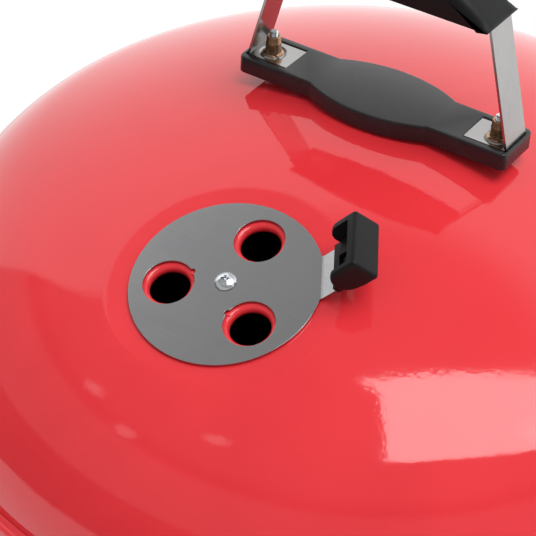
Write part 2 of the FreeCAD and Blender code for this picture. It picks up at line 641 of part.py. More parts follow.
def build_lid():
    skin = cut("lid_skin", lid_solid("lid_outside"), lid_solid("lid_inside", D.sheet))
    edge, low = "dims.kettle_radius", "dims.rim_height"
    outer = f"{edge} + dims.bead_radius + dims.skirt_gap"
    skirt = turned("skirt", [(f"{edge} - dims.sheet", low), (outer, low),
                             (outer, f"{low} - dims.skirt_drop"),
                             (f"{outer} + dims.sheet", f"{low} - dims.skirt_drop"),
                             (f"{outer} + dims.sheet", f"{low} + dims.sheet"),
                             (f"{edge} - dims.sheet", f"{low} + dims.sheet")])
    pieces, holes = [skin, skirt], []
    for angle in PORT_ANGLES:
        pieces.append(seat_disc("dims.port_radius + dims.collar_wall", "dims.collar_depth", -D.collar_depth,
                                D.port_circle, angle))
        holes.append(seat_disc("dims.port_radius", "30", -15, D.port_circle, angle))
    for angle in STOP_ANGLES:
        pieces.append(seat_disc("dims.nub_radius", "dims.nub_rise + 0.5", -0.5, D.notch_circle, angle))
    holes.append(seat_disc("dims.damper_shank", "30", -15))
    node(cut("lid", join("lid_whole", *pieces), *holes), "lid_shell")


def build_damper():
    """The ventilation disc with its bent tab, its screw, and the grip pushed on the tab."""
    low = D.damper_gap
    disc = seat_disc("dims.damper_radius", "dims.damper_sheet", low)
    middle = low + D.damper_sheet / 2
    tab_root = SEAT * spun(D.tab_turn, at(D.tab_start, 0, middle))
    tab_frame = tab_root * at(0, 0, 0, Y_AXIS, -D.tab_rise)
    tab = box("dims.tab_length", "dims.tab_width", "dims.damper_sheet",
              tab_frame * at(D.tab_length / 2, 0, -D.damper_sheet / 2))
    neck = box("dims.damper_sheet * 8", "dims.tab_width", "dims.damper_sheet",
               tab_root * at(-D.damper_sheet * 3.7, 0, -D.damper_sheet / 2))
    holes = [seat_disc("dims.damper_bore", "10", -2)]
    for angle in PORT_ANGLES:
        holes.append(seat_disc("dims.damper_port_radius", "10", -2, D.port_circle, angle))
    for angle in STOP_ANGLES:
        holes.append(seat_disc("dims.notch_radius", "10", -2, D.notch_circle, angle))
    node(cut("damper", join("damper_blank", disc, neck, tab), *holes), "damper_plate")

    web = box("dims.clip_web_length", "dims.clip_width", "dims.clip_web_thick",
              tab_frame * at(D.clip_web_start + D.clip_web_length / 2, 0, -D.clip_web_low))
    wall = box("dims.clip_wall_thick", "dims.clip_width", "dims.clip_top + dims.clip_wall_low",
               tab_frame * at(D.clip_wall_start + D.clip_wall_thick / 2, 0, -D.clip_wall_low))
    cheek_end = D.clip_wall_start + D.clip_wall_thick
    cheeks = []
    for side in (-1, 1):
        y = side * (D.clip_width - D.clip_cheek) / 2
        cheeks.append(box(f"{cheek_end} - dims.cheek_start", "dims.clip_cheek",
                          "dims.clip_top + dims.cheek_low",
                          tab_frame * at((cheek_end + D.cheek_start) / 2, y, -D.cheek_low)))
        nose = tab_frame * at(D.cheek_start, y + D.clip_cheek / 2, (D.clip_top - D.cheek_low) / 2, X_AXIS,
                              90)
        cheeks.append(cylinder("dims.cheek_nose", "dims.clip_cheek", nose))
    grip = join("grip_whole", web, wall, *cheeks)
    window = box("dims.clip_window", "dims.clip_window", "dims.clip_web_thick",
                 tab_frame * at(D.clip_window_start + D.clip_window / 2, 0, D.damper_sheet / 2))
    slot = box("dims.tab_length", "dims.tab_width", "dims.damper_sheet",
               tab_frame * at(D.tab_length / 2, 0, -D.damper_sheet / 2))
    node(cut("grip_hollow", grip, slot, window), "damper_grip")

    top = low + D.damper_sheet
    screw = [("0", "-14"), ("dims.damper_shank", "-14"), ("dims.damper_shank", f"{top} + 0.1"),
             ("dims.damper_head", f"{top} + 0.1"), ("dims.damper_head - 0.4", f"{top} + 1.2"),
             ("dims.damper_head - 2.4", f"{top} + 2.6"), ("0", f"{top} + 3.2")]
    node(turned("screw", screw, SEAT), "damper_screw")
    under = -D.sheet
    spring = [("dims.damper_shank", f"{under}"), ("dims.damper_head + 1.5", f"{under}"),
              ("dims.damper_head + 1.5", f"{under} - 1"), ("dims.damper_head", f"{under} - 4"),
              ("dims.damper_shank", f"{under} - 4")]
    node(turned("spring", spring, SEAT), "damper_spring")
    node(hexagon_nut("5.8", "dims.damper_shank", "4", SEAT * at(0, 0, under - 8)), "damper_nut")


def shield_outline(body, inset):
    """The heat shield's outline: straight ends and a swelling middle on each long side."""
    long, wide = D.shield_half_length - inset, D.shield_half_width - inset
    bulge, crown, corner = D.bulge_half_length, D.bulge_crown, max(D.shield_corner - inset, 0.5)
    sketch = new_sketch(body, "XY_Plane")
    geometry = []
    for side in (1, -1):
        y = side * wide
        geometry += [Part.LineSegment(V(-long + corner, y, 0), V(-bulge, y, 0)),
                     Part.Arc(V(-bulge, y, 0), V(0, y + side * crown, 0), V(bulge, y, 0)),
                     Part.LineSegment(V(bulge, y, 0), V(long - corner, y, 0))]
    for end in (1, -1):
        x = end * long
        geometry.append(Part.LineSegment(V(x, corner - wide, 0), V(x, wide - corner, 0)))
        for side in (1, -1):
            near, far = V(x - end * corner, side * wide, 0), V(x, side * (wide - corner), 0)
            bow = corner * (1 - math.sqrt(0.5))
            geometry.append(Part.Arc(near, V(x - end * bow, side * (wide - bow), 0), far))
    sketch.addGeometry(geometry)
    return sketch


def shield_block(name, inset, low, thick):
    body = doc.addObject("PartDesign::Body", name)
    pad(name, shield_outline(body, inset), body, thick, midplane=False)
    body.Placement = at(0, 0, low)
    return body


def build_lid_handle():
    under = APEX + D.shield_under
    block = shield_block("shield_block", 0, under, "dims.shield_top - dims.shield_under")
    hollow = shield_block("shield_hollow", D.shield_skin, under,
                          "dims.shield_top - dims.shield_under - dims.shield_skin")
    windows = []
    for side in (-1, 1):
        middle = side * (D.window_start + D.window_end) / 2
        windows.append(box("dims.window_end - dims.window_start", "2 * dims.window_half_width", "30",
                           at(middle, 0, under - 5)))
    node(cut("shield", block, hollow, *windows), "heat_shield")

    rise = D.grip_under - 1 - D.strap_foot
    lean = math.tan(math.radians(D.strap_lean))
    outer = D.window_end - 1.4
    foot, top = APEX + D.strap_foot, APEX + D.grip_under - 1
    path = [(D.strap_foot_start, foot), (outer, foot), (outer - rise * lean, top),
            (outer - rise * lean - D.strap_flange, top)]
    screws, nuts, studs = [], [], []
    shanks = []
    for label, turn in (("right", 0), ("left", 180)):
        ribbon = strap("strap_" + label, path, D.strap_bend, D.strap_sheet, "dims.strap_width")
        ribbon.Placement = at(0, 0, 0, Z_AXIS, turn)
        stud_x = D.stud_place
        base = spun(turn, at(stud_x, 0, APEX))
        low = D.strap_foot - D.strap_sheet / 2
        seat = low + D.strap_sheet + 0.6
        dish = turned("dish_" + label, [("dims.stud_radius", f"{low}"), ("dims.dish_radius + 1", f"{low}"),
                                        ("dims.dish_radius + 1", f"{low} + dims.strap_sheet"),
                                        ("dims.dish_radius", f"{low} + dims.strap_sheet"),
                                        ("dims.dish_radius - 1.2", f"{low} + dims.strap_sheet - 1"),
                                        ("dims.nut_flange + 0.5", f"{seat}"),
                                        ("dims.stud_radius", f"{seat}")], base)
        eye = cylinder("dims.dish_radius", "12", base * at(0, 0, low - 2))
        hole = cylinder("dims.grip_screw", "12", spun(turn, at(D.grip_screw_place, 0, top - 6)))
        node(join("bracket_" + label, cut("strap_eye", ribbon, eye, hole), dish), "handle_bracket_" + label)
        stud = turned("stud_" + label, [("0", "-20"), ("dims.shoulder_radius", "-20"),
                                        ("dims.shoulder_radius", f"{low}"), ("dims.stud_radius", f"{low}"),
                                        ("dims.stud_radius", "dims.stud_top - 1"),
                                        ("dims.stud_radius - 1", "dims.stud_top"),
                                        ("0", "dims.stud_top")], base)
        studs.append(cut("stud_on_lid_" + label, stud, lid_solid("stud_trim_" + label)))
        nuts.append(turned("nut_" + label, [("dims.stud_radius", f"{seat}"),
                                            ("dims.nut_flange - 1.7", f"{seat}"),
                                            ("dims.nut_flange - 1.7", f"{seat} + 0.8"),
                                            ("dims.nut_flange", f"{seat} + 1.4"),
                                            ("dims.nut_flange", f"{seat} + 2.4"),
                                            ("dims.nut_barrel", f"{seat} + 2.6"),
                                            ("dims.nut_neck", "dims.nut_top"),
                                            ("dims.stud_radius", "dims.nut_top")], base))
        screw_place = spun(turn, at(D.grip_screw_place, 0, top - 1))
        head = cylinder("dims.grip_screw_head", "3", screw_place * at(0, 0, -3))
        shank = cylinder("dims.grip_screw", "dims.grip_screw_length", screw_place)
        screws.append(join("grip_screw", head, shank))
        shanks.append(shank)
    node(compound("studs", studs), "lid_studs")
    node(compound("nuts", nuts), "handle_nuts")
    node(compound("screws", screws), "grip_screws")

    body = doc.addObject("PartDesign::Body", "hold")
    sketch = new_sketch(body, "XZ_Plane")
    end, low, crown = D.grip_length / 2, D.grip_end, D.grip_crown
    sketch.addGeometry([Part.LineSegment(V(-end, 0, 0), V(end, 0, 0)),
                        Part.LineSegment(V(end, 0, 0), V(end, low, 0)),
                        Part.Arc(V(end, low, 0), V(0, crown, 0), V(-end, low, 0)),
                        Part.LineSegment(V(-end, low, 0), V(-end, 0, 0))])
    block = pad("hold", sketch, body, "dims.grip_width")
    doc.recompute()
    edges = [f"Edge{i}" for i, edge in enumerate(block.Shape.Edges, 1) if isinstance(edge.Curve,
                                                                                     Part.Circle)]
    fillet = body.newObject("PartDesign::Fillet", "hold_round")
    fillet.Base = (block, edges)
    fillet.setExpression("Radius", "dims.grip_round")
    doc.recompute()
    body.Placement = at(0, 0, APEX + D.grip_under)
    node(cut("lid_hold", body, *shanks), "lid_grip")


# ---------------------------------------------------------------- build, check and write
def check(item):
    """Stops on a piece that did not build as a valid solid."""
    if not item.isValid() or {"Invalid", "Error"} & set(item.State):
        raise RuntimeError(f"{item.Label} failed: {item.State}")
    if hasattr(item, "Shape") and item in nodes and (item.Shape.isNull() or not item.Shape.isValid()):
        raise RuntimeError(f"{item.Label} has no valid shape")


for build in (build_bowl, build_legs, build_wheels, build_rack, build_ash_pan, build_sweeper,
              build_charcoal_grate, build_cooking_grate, build_bowl_handles, build_lid, build_damper,
              build_lid_handle):
    build()
doc.recompute()
for item in doc.Objects:
    check(item)

os.makedirs("parts", exist_ok=True)
for piece in nodes:
    piece.Shape.exportStep(f"parts/{piece.Label}.step")
    print(f"{piece.Label:24s} solids {len(piece.Shape.Solids):2d}  volume {piece.Shape.Volume:12.1f}")
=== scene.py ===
# %% [markdown]
# # A kettle charcoal grill, seen close to its lid
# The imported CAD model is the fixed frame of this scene: it says where every part is and what
# it moves with. It is loaded first, and everything else is built around it.

# %% Load the frame
import json
import math

import bmesh
import bpy
from mathutils import Matrix, Vector


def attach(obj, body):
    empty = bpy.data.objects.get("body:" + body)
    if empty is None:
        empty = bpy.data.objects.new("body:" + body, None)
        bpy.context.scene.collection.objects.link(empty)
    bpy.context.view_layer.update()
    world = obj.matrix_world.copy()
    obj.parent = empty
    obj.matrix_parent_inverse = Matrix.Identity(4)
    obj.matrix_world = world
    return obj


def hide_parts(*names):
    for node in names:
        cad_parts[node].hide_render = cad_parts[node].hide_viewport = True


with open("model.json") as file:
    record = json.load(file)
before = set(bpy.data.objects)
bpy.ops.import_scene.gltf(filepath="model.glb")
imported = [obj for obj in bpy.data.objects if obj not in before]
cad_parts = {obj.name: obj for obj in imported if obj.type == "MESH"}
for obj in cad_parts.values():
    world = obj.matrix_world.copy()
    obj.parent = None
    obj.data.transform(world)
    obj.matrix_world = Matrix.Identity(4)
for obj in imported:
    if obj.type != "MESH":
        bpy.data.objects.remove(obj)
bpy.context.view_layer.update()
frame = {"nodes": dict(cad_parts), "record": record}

# %% [markdown]
# ## The camera
# The view looks down on the lid from the front right, close enough for the ventilation disc and
# one end of the handle to fill the picture. A camera can be aimed with a tracking constraint,
# but three plain turns are easier to read back: round the grill, down to it, and a slight roll.

# %% Place the camera
MM = 0.001
CAMERA_PLACE = Vector((481.03, -886.10, 1516.27)) * MM
CAMERA_AZIMUTH, CAMERA_FALL, CAMERA_ROLL = 32.065, 53.113, 2.841


def turn(degrees, axis):
    return Matrix.Rotation(math.radians(degrees), 4, axis)


def at(x=0.0, y=0.0, z=0.0):
    return Matrix.Translation((x, y, z))


def add_object(name, data):
    made = bpy.data.objects.new(name, data)
    bpy.context.scene.collection.objects.link(made)
    return made


def to_mesh(shape, name):
    """Turns a shape into a mesh, and lets the shape go."""
    mesh = bpy.data.meshes.new(name)
    shape.to_mesh(mesh)
    shape.free()
    return mesh


camera_data = bpy.data.cameras.new("camera")
camera_data.lens = 133.06
camera_data.sensor_width = 36.0
camera_data.clip_start, camera_data.clip_end = 0.05, 60.0
camera = add_object("camera", camera_data)
camera.matrix_world = (Matrix.Translation(CAMERA_PLACE) @ turn(CAMERA_AZIMUTH, "Z")
                       @ turn(CAMERA_FALL, "X") @ turn(CAMERA_ROLL, "Z"))
bpy.context.scene.camera = camera
bpy.context.scene.view_settings.view_transform = "Standard"
print("camera looks along", [round(v, 3) for v in camera.matrix_world.col[2][:3]])

# %% [markdown]
# ## Short words for shader nodes
# Every finish below is a small graph of nodes. These few functions add a node, set its inputs
# and wire it up, so that a material reads like a list of what it does.


# %% Node helpers
def add_node(tree, kind, inputs=None, **settings):
    made = tree.nodes.new(kind)
    for key, value in settings.items():
        setattr(made, key, value)
    for key, value in (inputs or {}).items():
        if isinstance(value, bpy.types.NodeSocket):
            tree.links.new(value, made.inputs[key])
        else:
            made.inputs[key].default_value = value
    return made


def calc(tree, operation, first, second=0.0, third=0.0):
    return add_node(tree, "ShaderNodeMath", {0: first, 1: second, 2: third}, operation=operation).outputs[0]


def ramp_between(tree, value, low, high, out_low=0.0, out_high=1.0):
    """A smooth step of value from low to high."""
    made = add_node(tree, "ShaderNodeMapRange", {"Value": value, "From Min": low, "From Max": high,
                    "To Min": out_low, "To Max": out_high}, interpolation_type="SMOOTHSTEP")
    return made.outputs["Result"]


def blend_colours(tree, factor, first, second):
    made = add_node(tree, "ShaderNodeMix", {0: factor, 6: first, 7: second}, data_type="RGBA")
    return made.outputs[2]


def new_group(name, inputs, outputs):
    """An empty node group with named inputs and outputs, and where on the piece it is."""
    tree = bpy.data.node_groups.new(name, "ShaderNodeTree")
    for label, default in inputs.items():
        socket = tree.interface.new_socket(label, in_out="INPUT", socket_type="NodeSocketFloat")
        socket.default_value = default
    for label in outputs:
        tree.interface.new_socket(label, in_out="OUTPUT", socket_type="NodeSocketFloat")
    start = tree.nodes.new("NodeGroupInput")
    end = tree.nodes.new("NodeGroupOutput")
    where = add_node(tree, "ShaderNodeTexCoord").outputs["Object"]
    return tree, start.outputs, end.inputs, where


# %% [markdown]
# ## The studio
# A glossy lid is a mirror, so the room round it is half of its look: a large square softbox
# overhead, a white wall behind, and a dim room with three small lamps on the camera's side.
# Lamps and cards could be placed as objects, but they would stand in the way of other views, so
# the room is painted on the world by direction. Matt surfaces get an even light with the same
# softbox in it, and the camera itself sees plain white.

# %% Paint the room on the world
SOFTBOX_LIGHT = 6.2
EVEN_LIGHT = 0.62
SMALL_LAMPS = ((-139.7, 36.0), (-122.8, 31.0), (-104.7, 49.5))  # azimuth and elevation
LAMP_LIGHT, LAMP_EDGE, LAMP_CORE = 1.3, 3.4, 1.2

world = bpy.data.worlds.new("studio")
bpy.context.scene.world = world
world.use_nodes = True
sky = world.node_tree
sky.nodes.clear()
heading = add_node(sky, "ShaderNodeTexCoord").outputs["Generated"]
split = add_node(sky, "ShaderNodeSeparateXYZ", {0: heading})
east, north, up = split.outputs

high = calc(sky, "MAXIMUM", up, 0.02)
along, across = (calc(sky, "DIVIDE", calc(sky, way, east, north), calc(sky, "MULTIPLY", high, math.sqrt(2)))
                 for way in ("ADD", "SUBTRACT"))
near_edge = calc(sky, "MINIMUM", calc(sky, "MULTIPLY_ADD", across, -0.16, 0.055),
                 calc(sky, "MULTIPLY_ADD", across, 1.1, 0.012))
softbox = ramp_between(sky, calc(sky, "SUBTRACT", along, near_edge), -0.002, 0.004)
for value, *limits in ((across, -0.012, -0.006), (along, 0.64, 0.66, 1.0, 0.0),
                       (across, 0.64, 0.66, 1.0, 0.0), (up, 0.25, 0.35)):
    softbox = calc(sky, "MULTIPLY", softbox, ramp_between(sky, value, *limits))

white_wall = calc(sky, "MULTIPLY", ramp_between(sky, north, -0.012, 0.03),
                  ramp_between(sky, up, 0.80, 0.90, 1.25, 0.40))
dim_room = ramp_between(sky, up, 0.45, 0.66, 0.14, 0.38)
dim_room = calc(sky, "ADD", dim_room, calc(sky, "MULTIPLY", ramp_between(sky, up, 0.44, 0.52, 0.36, 0.0),
                                           ramp_between(sky, up, 0.02, 0.07)))
dim_room = calc(sky, "MULTIPLY", dim_room, ramp_between(sky, north, -0.012, 0.03, 1.0, 0.0))
room = calc(sky, "ADD", white_wall, dim_room)
for azimuth, elevation in SMALL_LAMPS:
    a, e = math.radians(azimuth), math.radians(elevation)
    aim = (math.cos(a) * math.cos(e), math.sin(a) * math.cos(e), math.sin(e))
    towards = add_node(sky, "ShaderNodeVectorMath", {0: heading, 1: aim}, operation="DOT_PRODUCT")
    glow = ramp_between(sky, towards.outputs["Value"], math.cos(math.radians(LAMP_EDGE)),
                        math.cos(math.radians(LAMP_CORE)))
    room = calc(sky, "MULTIPLY_ADD", glow, LAMP_LIGHT, room)
lamp_light = calc(sky, "MULTIPLY", softbox, SOFTBOX_LIGHT)
mirrored = calc(sky, "ADD", room, lamp_light)
even = calc(sky, "ADD", lamp_light, EVEN_LIGHT)
path = add_node(sky, "ShaderNodeLightPath").outputs
seen_in_gloss = calc(sky, "MAXIMUM", path["Is Glossy Ray"], path["Is Transmission Ray"])
brightness = calc(sky, "ADD", calc(sky, "MULTIPLY", mirrored, seen_in_gloss),
                  calc(sky, "MULTIPLY", even, calc(sky, "SUBTRACT", 1.0, seen_in_gloss)))
not_camera = calc(sky, "SUBTRACT", 1.0, path["Is Camera Ray"])
brightness = calc(sky, "ADD", calc(sky, "MULTIPLY", brightness, not_camera), path["Is Camera Ray"])
background = add_node(sky, "ShaderNodeBackground", {"Color": (1.0, 1.0, 1.0, 1.0), "Strength": brightness})
add_node(sky, "ShaderNodeOutputWorld", {"Surface": background.outputs[0]})
print("world painted with", len(sky.nodes), "nodes")

# %% [markdown]
# ## The floor
# The grill stands on a round pale floor. Near the grill it is matt and takes the grill's shadow,
# and towards its edge it turns into plain white for the camera, so no horizon shows.

# %% Lay the floor
FLOOR_RADIUS = 2.2
floor_paint = bpy.data.materials.new("floor_paint")
floor_paint.use_nodes = True
tree = floor_paint.node_tree
tree.nodes.clear()
matt = add_node(tree, "ShaderNodeBsdfDiffuse", {"Color": (0.86, 0.86, 0.855, 1.0)})
glow = add_node(tree, "ShaderNodeEmission", {"Color": (1.0, 1.0, 1.0, 1.0), "Strength": 1.0})
place = add_node(tree, "ShaderNodeTexCoord").outputs["Object"]
reach = add_node(tree, "ShaderNodeVectorMath", {0: place}, operation="LENGTH").outputs["Value"]
path = add_node(tree, "ShaderNodeLightPath").outputs
seen = calc(tree, "MAXIMUM", path["Is Camera Ray"],
            calc(tree, "MAXIMUM", path["Is Glossy Ray"], path["Is Transmission Ray"]))
far = calc(tree, "MULTIPLY", ramp_between(tree, reach, 0.55, 1.25), seen)
mixed = add_node(tree, "ShaderNodeMixShader", {0: far, 1: matt.outputs[0], 2: glow.outputs[0]})
add_node(tree, "ShaderNodeOutputMaterial", {"Surface": mixed.outputs[0]})

shape = bmesh.new()
bmesh.ops.create_circle(shape, cap_ends=True, segments=96, radius=FLOOR_RADIUS)
floor_mesh = to_mesh(shape, "floor")
floor_mesh.materials.append(floor_paint)
floor = add_object("floor", floor_mesh)
print("floor radius", FLOOR_RADIUS)

# %% [markdown]
# ## Effects that several finishes share
# Enamel, steel and moulded plastic are all slightly uneven, handled and dusty. Each of those
# effects is a node group with its own settings, placed in the materials with different values.
# - `ripple`: the gentle waviness of fired enamel and of thick moulded skin, as a height.
# - `grain`: fine straight lines from rolling or brushing, as a height and a mask.
# - `smudges`: soft patches where hands and cloths have been, as a mask; on the stainless disc its darker
#   patches are also painted reflection.
# - `specks`: a few grains of dust, as a mask.


# %% Build the shared node groups
ripple, given, out, where = new_group("ripple", {"Scale": 220.0, "Detail": 2.0}, ["Height"])
waves = add_node(ripple, "ShaderNodeTexNoise",
                 {"Vector": where, "Scale": given["Scale"], "Detail": given["Detail"]})
ripple.links.new(waves.outputs["Fac"], out["Height"])

grain, given, out, where = new_group("grain", {"X scale": 30.0, "Y scale": 2500.0, "Z scale": 2500.0},
                                     ["Height", "Mask"])
stretch = add_node(grain, "ShaderNodeCombineXYZ", {k: given[k] for k in range(3)})
stretched = add_node(grain, "ShaderNodeVectorMath", {0: where, 1: stretch.outputs[0]}, operation="MULTIPLY")
lines = add_node(grain, "ShaderNodeTexNoise", {"Vector": stretched.outputs[0], "Scale": 1.0, "Detail": 3.0,
                                               "Roughness": 0.7})
grain.links.new(lines.outputs["Fac"], out["Height"])
grain.links.new(ramp_between(grain, lines.outputs["Fac"], 0.35, 0.65), out["Mask"])

smudges, given, out, where = new_group("smudges", {"Scale": 14.0, "Low": 0.45, "High": 0.75}, ["Mask"])
patches = add_node(smudges, "ShaderNodeTexNoise", {"Vector": where, "Scale": given["Scale"], "Detail": 4.0,
                                                   "Distortion": 0.8})
smudges.links.new(ramp_between(smudges, patches.outputs["Fac"], given["Low"], given["High"]), out["Mask"])

specks, given, out, where = new_group("specks", {"Scale": 60.0, "Size": 0.03}, ["Mask"])
cells = add_node(specks, "ShaderNodeTexVoronoi",
                 {"Vector": where, "Scale": given["Scale"], "Randomness": 1.0})
dots = ramp_between(specks, cells.outputs["Distance"], given["Size"], 0.0)
chance = add_node(specks, "ShaderNodeSeparateXYZ", {0: cells.outputs["Color"]}).outputs[0]
few = calc(specks, "GREATER_THAN", chance, 0.93)
specks.links.new(calc(specks, "MULTIPLY", dots, few), out["Mask"])
print("groups:", [g.name for g in bpy.data.node_groups])


# %% [markdown]
# ## Finishes
# Each material is one Principled shader. `finish` starts it with its plain numbers on the
# shader's own sockets, and what changes over the surface is wired in afterwards.

# %% Material helpers
def finish(name, colour, roughness, metallic=0.0, **sockets):
    material = bpy.data.materials.new(name)
    material.use_nodes = True
    tree = material.node_tree
    shader = tree.nodes["Principled BSDF"]
    shader.inputs["Base Color"].default_value = (*colour, 1.0)
    shader.inputs["Roughness"].default_value = roughness
    shader.inputs["Metallic"].default_value = metallic
    for key, value in sockets.items():
        shader.inputs[key].default_value = value
    return material, tree, shader


def use_group(tree, group, **values):
    made = tree.nodes.new("ShaderNodeGroup")
    made.node_tree = group
    for key, value in values.items():
        made.inputs[key.replace("_", " ")].default_value = value
    return made.outputs


def bumps(tree, shader, height, distance, after=None):
    inputs = {"Height": height, "Distance": distance, "Strength": 1.0}
    if after is not None:
        inputs["Normal"] = after
    bump = add_node(tree, "ShaderNodeBump", inputs)
    tree.links.new(bump.outputs[0], shader.inputs["Normal"])
    return bump.outputs[0]


def vary_roughness(tree, shader, mask, low, high):
    value = calc(tree, "MULTIPLY_ADD", mask, high - low, low)
    tree.links.new(value, shader.inputs["Roughness"])


def vary_colour(tree, shader, mask, first, second):
    colour = blend_colours(tree, mask, (*first, 1.0), (*second, 1.0))
    tree.links.new(colour, shader.inputs["Base Color"])
    return colour


# %% [markdown]
# ### Enamel
# Porcelain enamel is glass fired on steel: a deep red under a clear skin that is never quite
# flat. Its waviness is only microns high, but it bends the edges of every reflection. Dust
# shows as tiny pale specks, and the inside of the lid and bowl is fired black.

# %% Red and black enamel
RED, RED_DEEP = (0.79, 0.036, 0.046), (0.73, 0.030, 0.040)
BLACK_GLASS, BLACK_ASH = (0.006, 0.006, 0.006), (0.020, 0.019, 0.018)
red_enamel, tree, shader = finish("red_enamel", RED, 0.07, IOR=1.5)
patches = use_group(tree, smudges, Scale=5.0, Low=0.35, High=0.7)["Mask"]
tone = vary_colour(tree, shader, patches, RED, RED_DEEP)
dust = use_group(tree, specks, Scale=75.0, Size=0.045)["Mask"]
dusty = blend_colours(tree, dust, tone, (0.80, 0.62, 0.60, 1.0))
tree.links.new(dusty, shader.inputs["Base Color"])
vary_roughness(tree, shader, use_group(tree, smudges, Scale=11.0, Low=0.45, High=0.8)["Mask"], 0.055, 0.10)
coarse = bumps(tree, shader, use_group(tree, ripple, Scale=70.0, Detail=1.0)["Height"], 0.000028)
bumps(tree, shader, use_group(tree, ripple, Scale=330.0, Detail=2.0)["Height"], 0.000030, after=coarse)

black_enamel, tree, shader = finish("black_enamel", BLACK_GLASS, 0.35, IOR=1.5)
sooty = use_group(tree, smudges, Scale=18.0, Low=0.35, High=0.7)["Mask"]
vary_colour(tree, shader, sooty, BLACK_GLASS, BLACK_ASH)
vary_roughness(tree, shader, sooty, 0.28, 0.6)
bumps(tree, shader, use_group(tree, ripple, Scale=180.0, Detail=3.0)["Height"], 0.00003)

# %% [markdown]
# ### Steel, zinc and aluminium
# Sheet steel keeps the fine lines of its rolling, wire is plated bright, screws are zinc with
# a faint blue, and the nuts have the yellow-brown zinc that car bolts have. The legs are
# aluminium tube. All are metals of one recipe with different colours, lines and smudges.


# %% Metals
def metal(name, colour, patch_colour, roughness, spread, lines=None, line_depth=0.000004, patch=20.0):
    material, tree, shader = finish(name, colour, roughness, 1.0)
    mask = use_group(tree, smudges, Scale=patch, Low=0.4, High=0.72)["Mask"]
    if lines:
        marks = use_group(tree, grain, X_scale=lines[0], Y_scale=lines[1], Z_scale=lines[2])
        mask = calc(tree, "MULTIPLY_ADD", marks["Mask"], 0.35, calc(tree, "MULTIPLY", mask, 0.65))
        bumps(tree, shader, marks["Height"], line_depth)
    else:
        bumps(tree, shader, use_group(tree, ripple, Scale=420.0, Detail=3.0)["Height"], 0.00001)
    vary_colour(tree, shader, mask, colour, patch_colour)
    vary_roughness(tree, shader, mask, roughness, roughness + spread)
    return material


# The disc's darker steel patches are partly wear and partly painted reflection: dark streaks of reflected
# shade painted into its colour.
STEEL, STEEL_WORN_AND_PAINTED_REFLECTION = (0.42, 0.42, 0.425), (0.36, 0.36, 0.37)
disc_steel = metal("disc_steel", STEEL, STEEL_WORN_AND_PAINTED_REFLECTION, 0.17, 0.05, lines=(14.0, 900.0, 900.0),
                   line_depth=0.0000006, patch=26.0)
strap_steel = metal("strap_steel", (0.40, 0.395, 0.385), (0.35, 0.345, 0.34), 0.20, 0.08,
                    lines=(900.0, 900.0, 30.0), line_depth=0.0000012)
zinc = metal("zinc", (0.74, 0.76, 0.78), (0.62, 0.65, 0.68), 0.16, 0.16, patch=160.0)
bronze_zinc = metal("bronze_zinc", (0.52, 0.31, 0.18), (0.36, 0.21, 0.13), 0.20, 0.14, patch=260.0)
plated_wire = metal("plated_wire", (0.70, 0.70, 0.69), (0.56, 0.56, 0.55), 0.18, 0.16, patch=60.0)
raw_steel = metal("raw_steel", (0.40, 0.39, 0.38), (0.24, 0.22, 0.20), 0.34, 0.22, patch=35.0)
dark_steel = metal("dark_steel", (0.30, 0.30, 0.31), (0.20, 0.20, 0.20), 0.34, 0.16, patch=40.0)
aluminium = metal("aluminium", (0.74, 0.74, 0.75), (0.64, 0.64, 0.66), 0.30, 0.12,
                  lines=(1400.0, 1400.0, 12.0))
pan_aluminium = metal("pan_aluminium", (0.76, 0.76, 0.77), (0.66, 0.66, 0.67), 0.30, 0.14,
                      lines=(14.0, 1300.0, 1300.0))

# %% [markdown]
# ### Moulded plastic and rubber
# Glass-filled nylon is charcoal black with a fine spark-eroded texture, a little greyer where
# it is handled. The shield's skin is smoother. Wheels are a plainer plastic, tyres softer still.


# %% Plastics
def moulded(name, colour, handled, roughness, spread, texture=1400.0, depth=0.00004, specular=0.5):
    material, tree, shader = finish(name, colour, roughness)
    shader.inputs["Specular IOR Level"].default_value = specular
    mask = use_group(tree, smudges, Scale=40.0, Low=0.4, High=0.75)["Mask"]
    tone = blend_colours(tree, mask, (*colour, 1.0), (*handled, 1.0))
    dust = use_group(tree, specks, Scale=170.0, Size=0.06)["Mask"]
    tree.links.new(blend_colours(tree, dust, tone, (0.30, 0.30, 0.29, 1.0)), shader.inputs["Base Color"])
    vary_roughness(tree, shader, mask, roughness, roughness + spread)
    bumps(tree, shader, use_group(tree, ripple, Scale=texture, Detail=2.0)["Height"], depth)
    return material


grip_plastic = moulded("grip_plastic", (0.0065, 0.007, 0.0078), (0.009, 0.0095, 0.0105), 0.46, 0.10,
                       specular=0.20)
shield_plastic = moulded("shield_plastic", (0.014, 0.0132, 0.0148), (0.019, 0.018, 0.020), 0.25, 0.08,
                         depth=0.000006, specular=0.42)
wheel_plastic = moulded("wheel_plastic", (0.030, 0.030, 0.031), (0.045, 0.045, 0.045), 0.42, 0.14)
tyre_rubber = moulded("tyre_rubber", (0.018, 0.018, 0.018), (0.034, 0.033, 0.032), 0.62, 0.16, texture=900.0)
print("materials:", len(bpy.data.materials))

# %% [markdown]
# ## Tools for making pieces
# Pieces are modelled in millimetres, as the drawings of the grill are, and brought to metres
# when they are finished. `lathe` spins an outline round an axis, `loop` lays a line of edges,
# `fill` closes flat loops with their holes, and `make_piece` turns the result into an object
# that rides on its body and stands for its CAD node.

# %% Modelling helpers
MERGE = 0.003
ON_EDGE = Matrix(((1, 0, 0, 0), (0, 0, 1, 0), (0, 1, 0, 0), (0, 0, 0, 1)))  # takes XY to XZ


def arc(centre_x, centre_y, radius, start, end, steps):
    """Points of an arc in a plane, from one angle to another in degrees."""
    turns = [math.radians(start + (end - start) * k / steps) for k in range(steps + 1)]
    return [(centre_x + radius * math.cos(t), centre_y + radius * math.sin(t)) for t in turns]


def circle(centre_x, centre_y, radius, steps):
    return arc(centre_x, centre_y, radius, 0, 360, steps)[:-1]


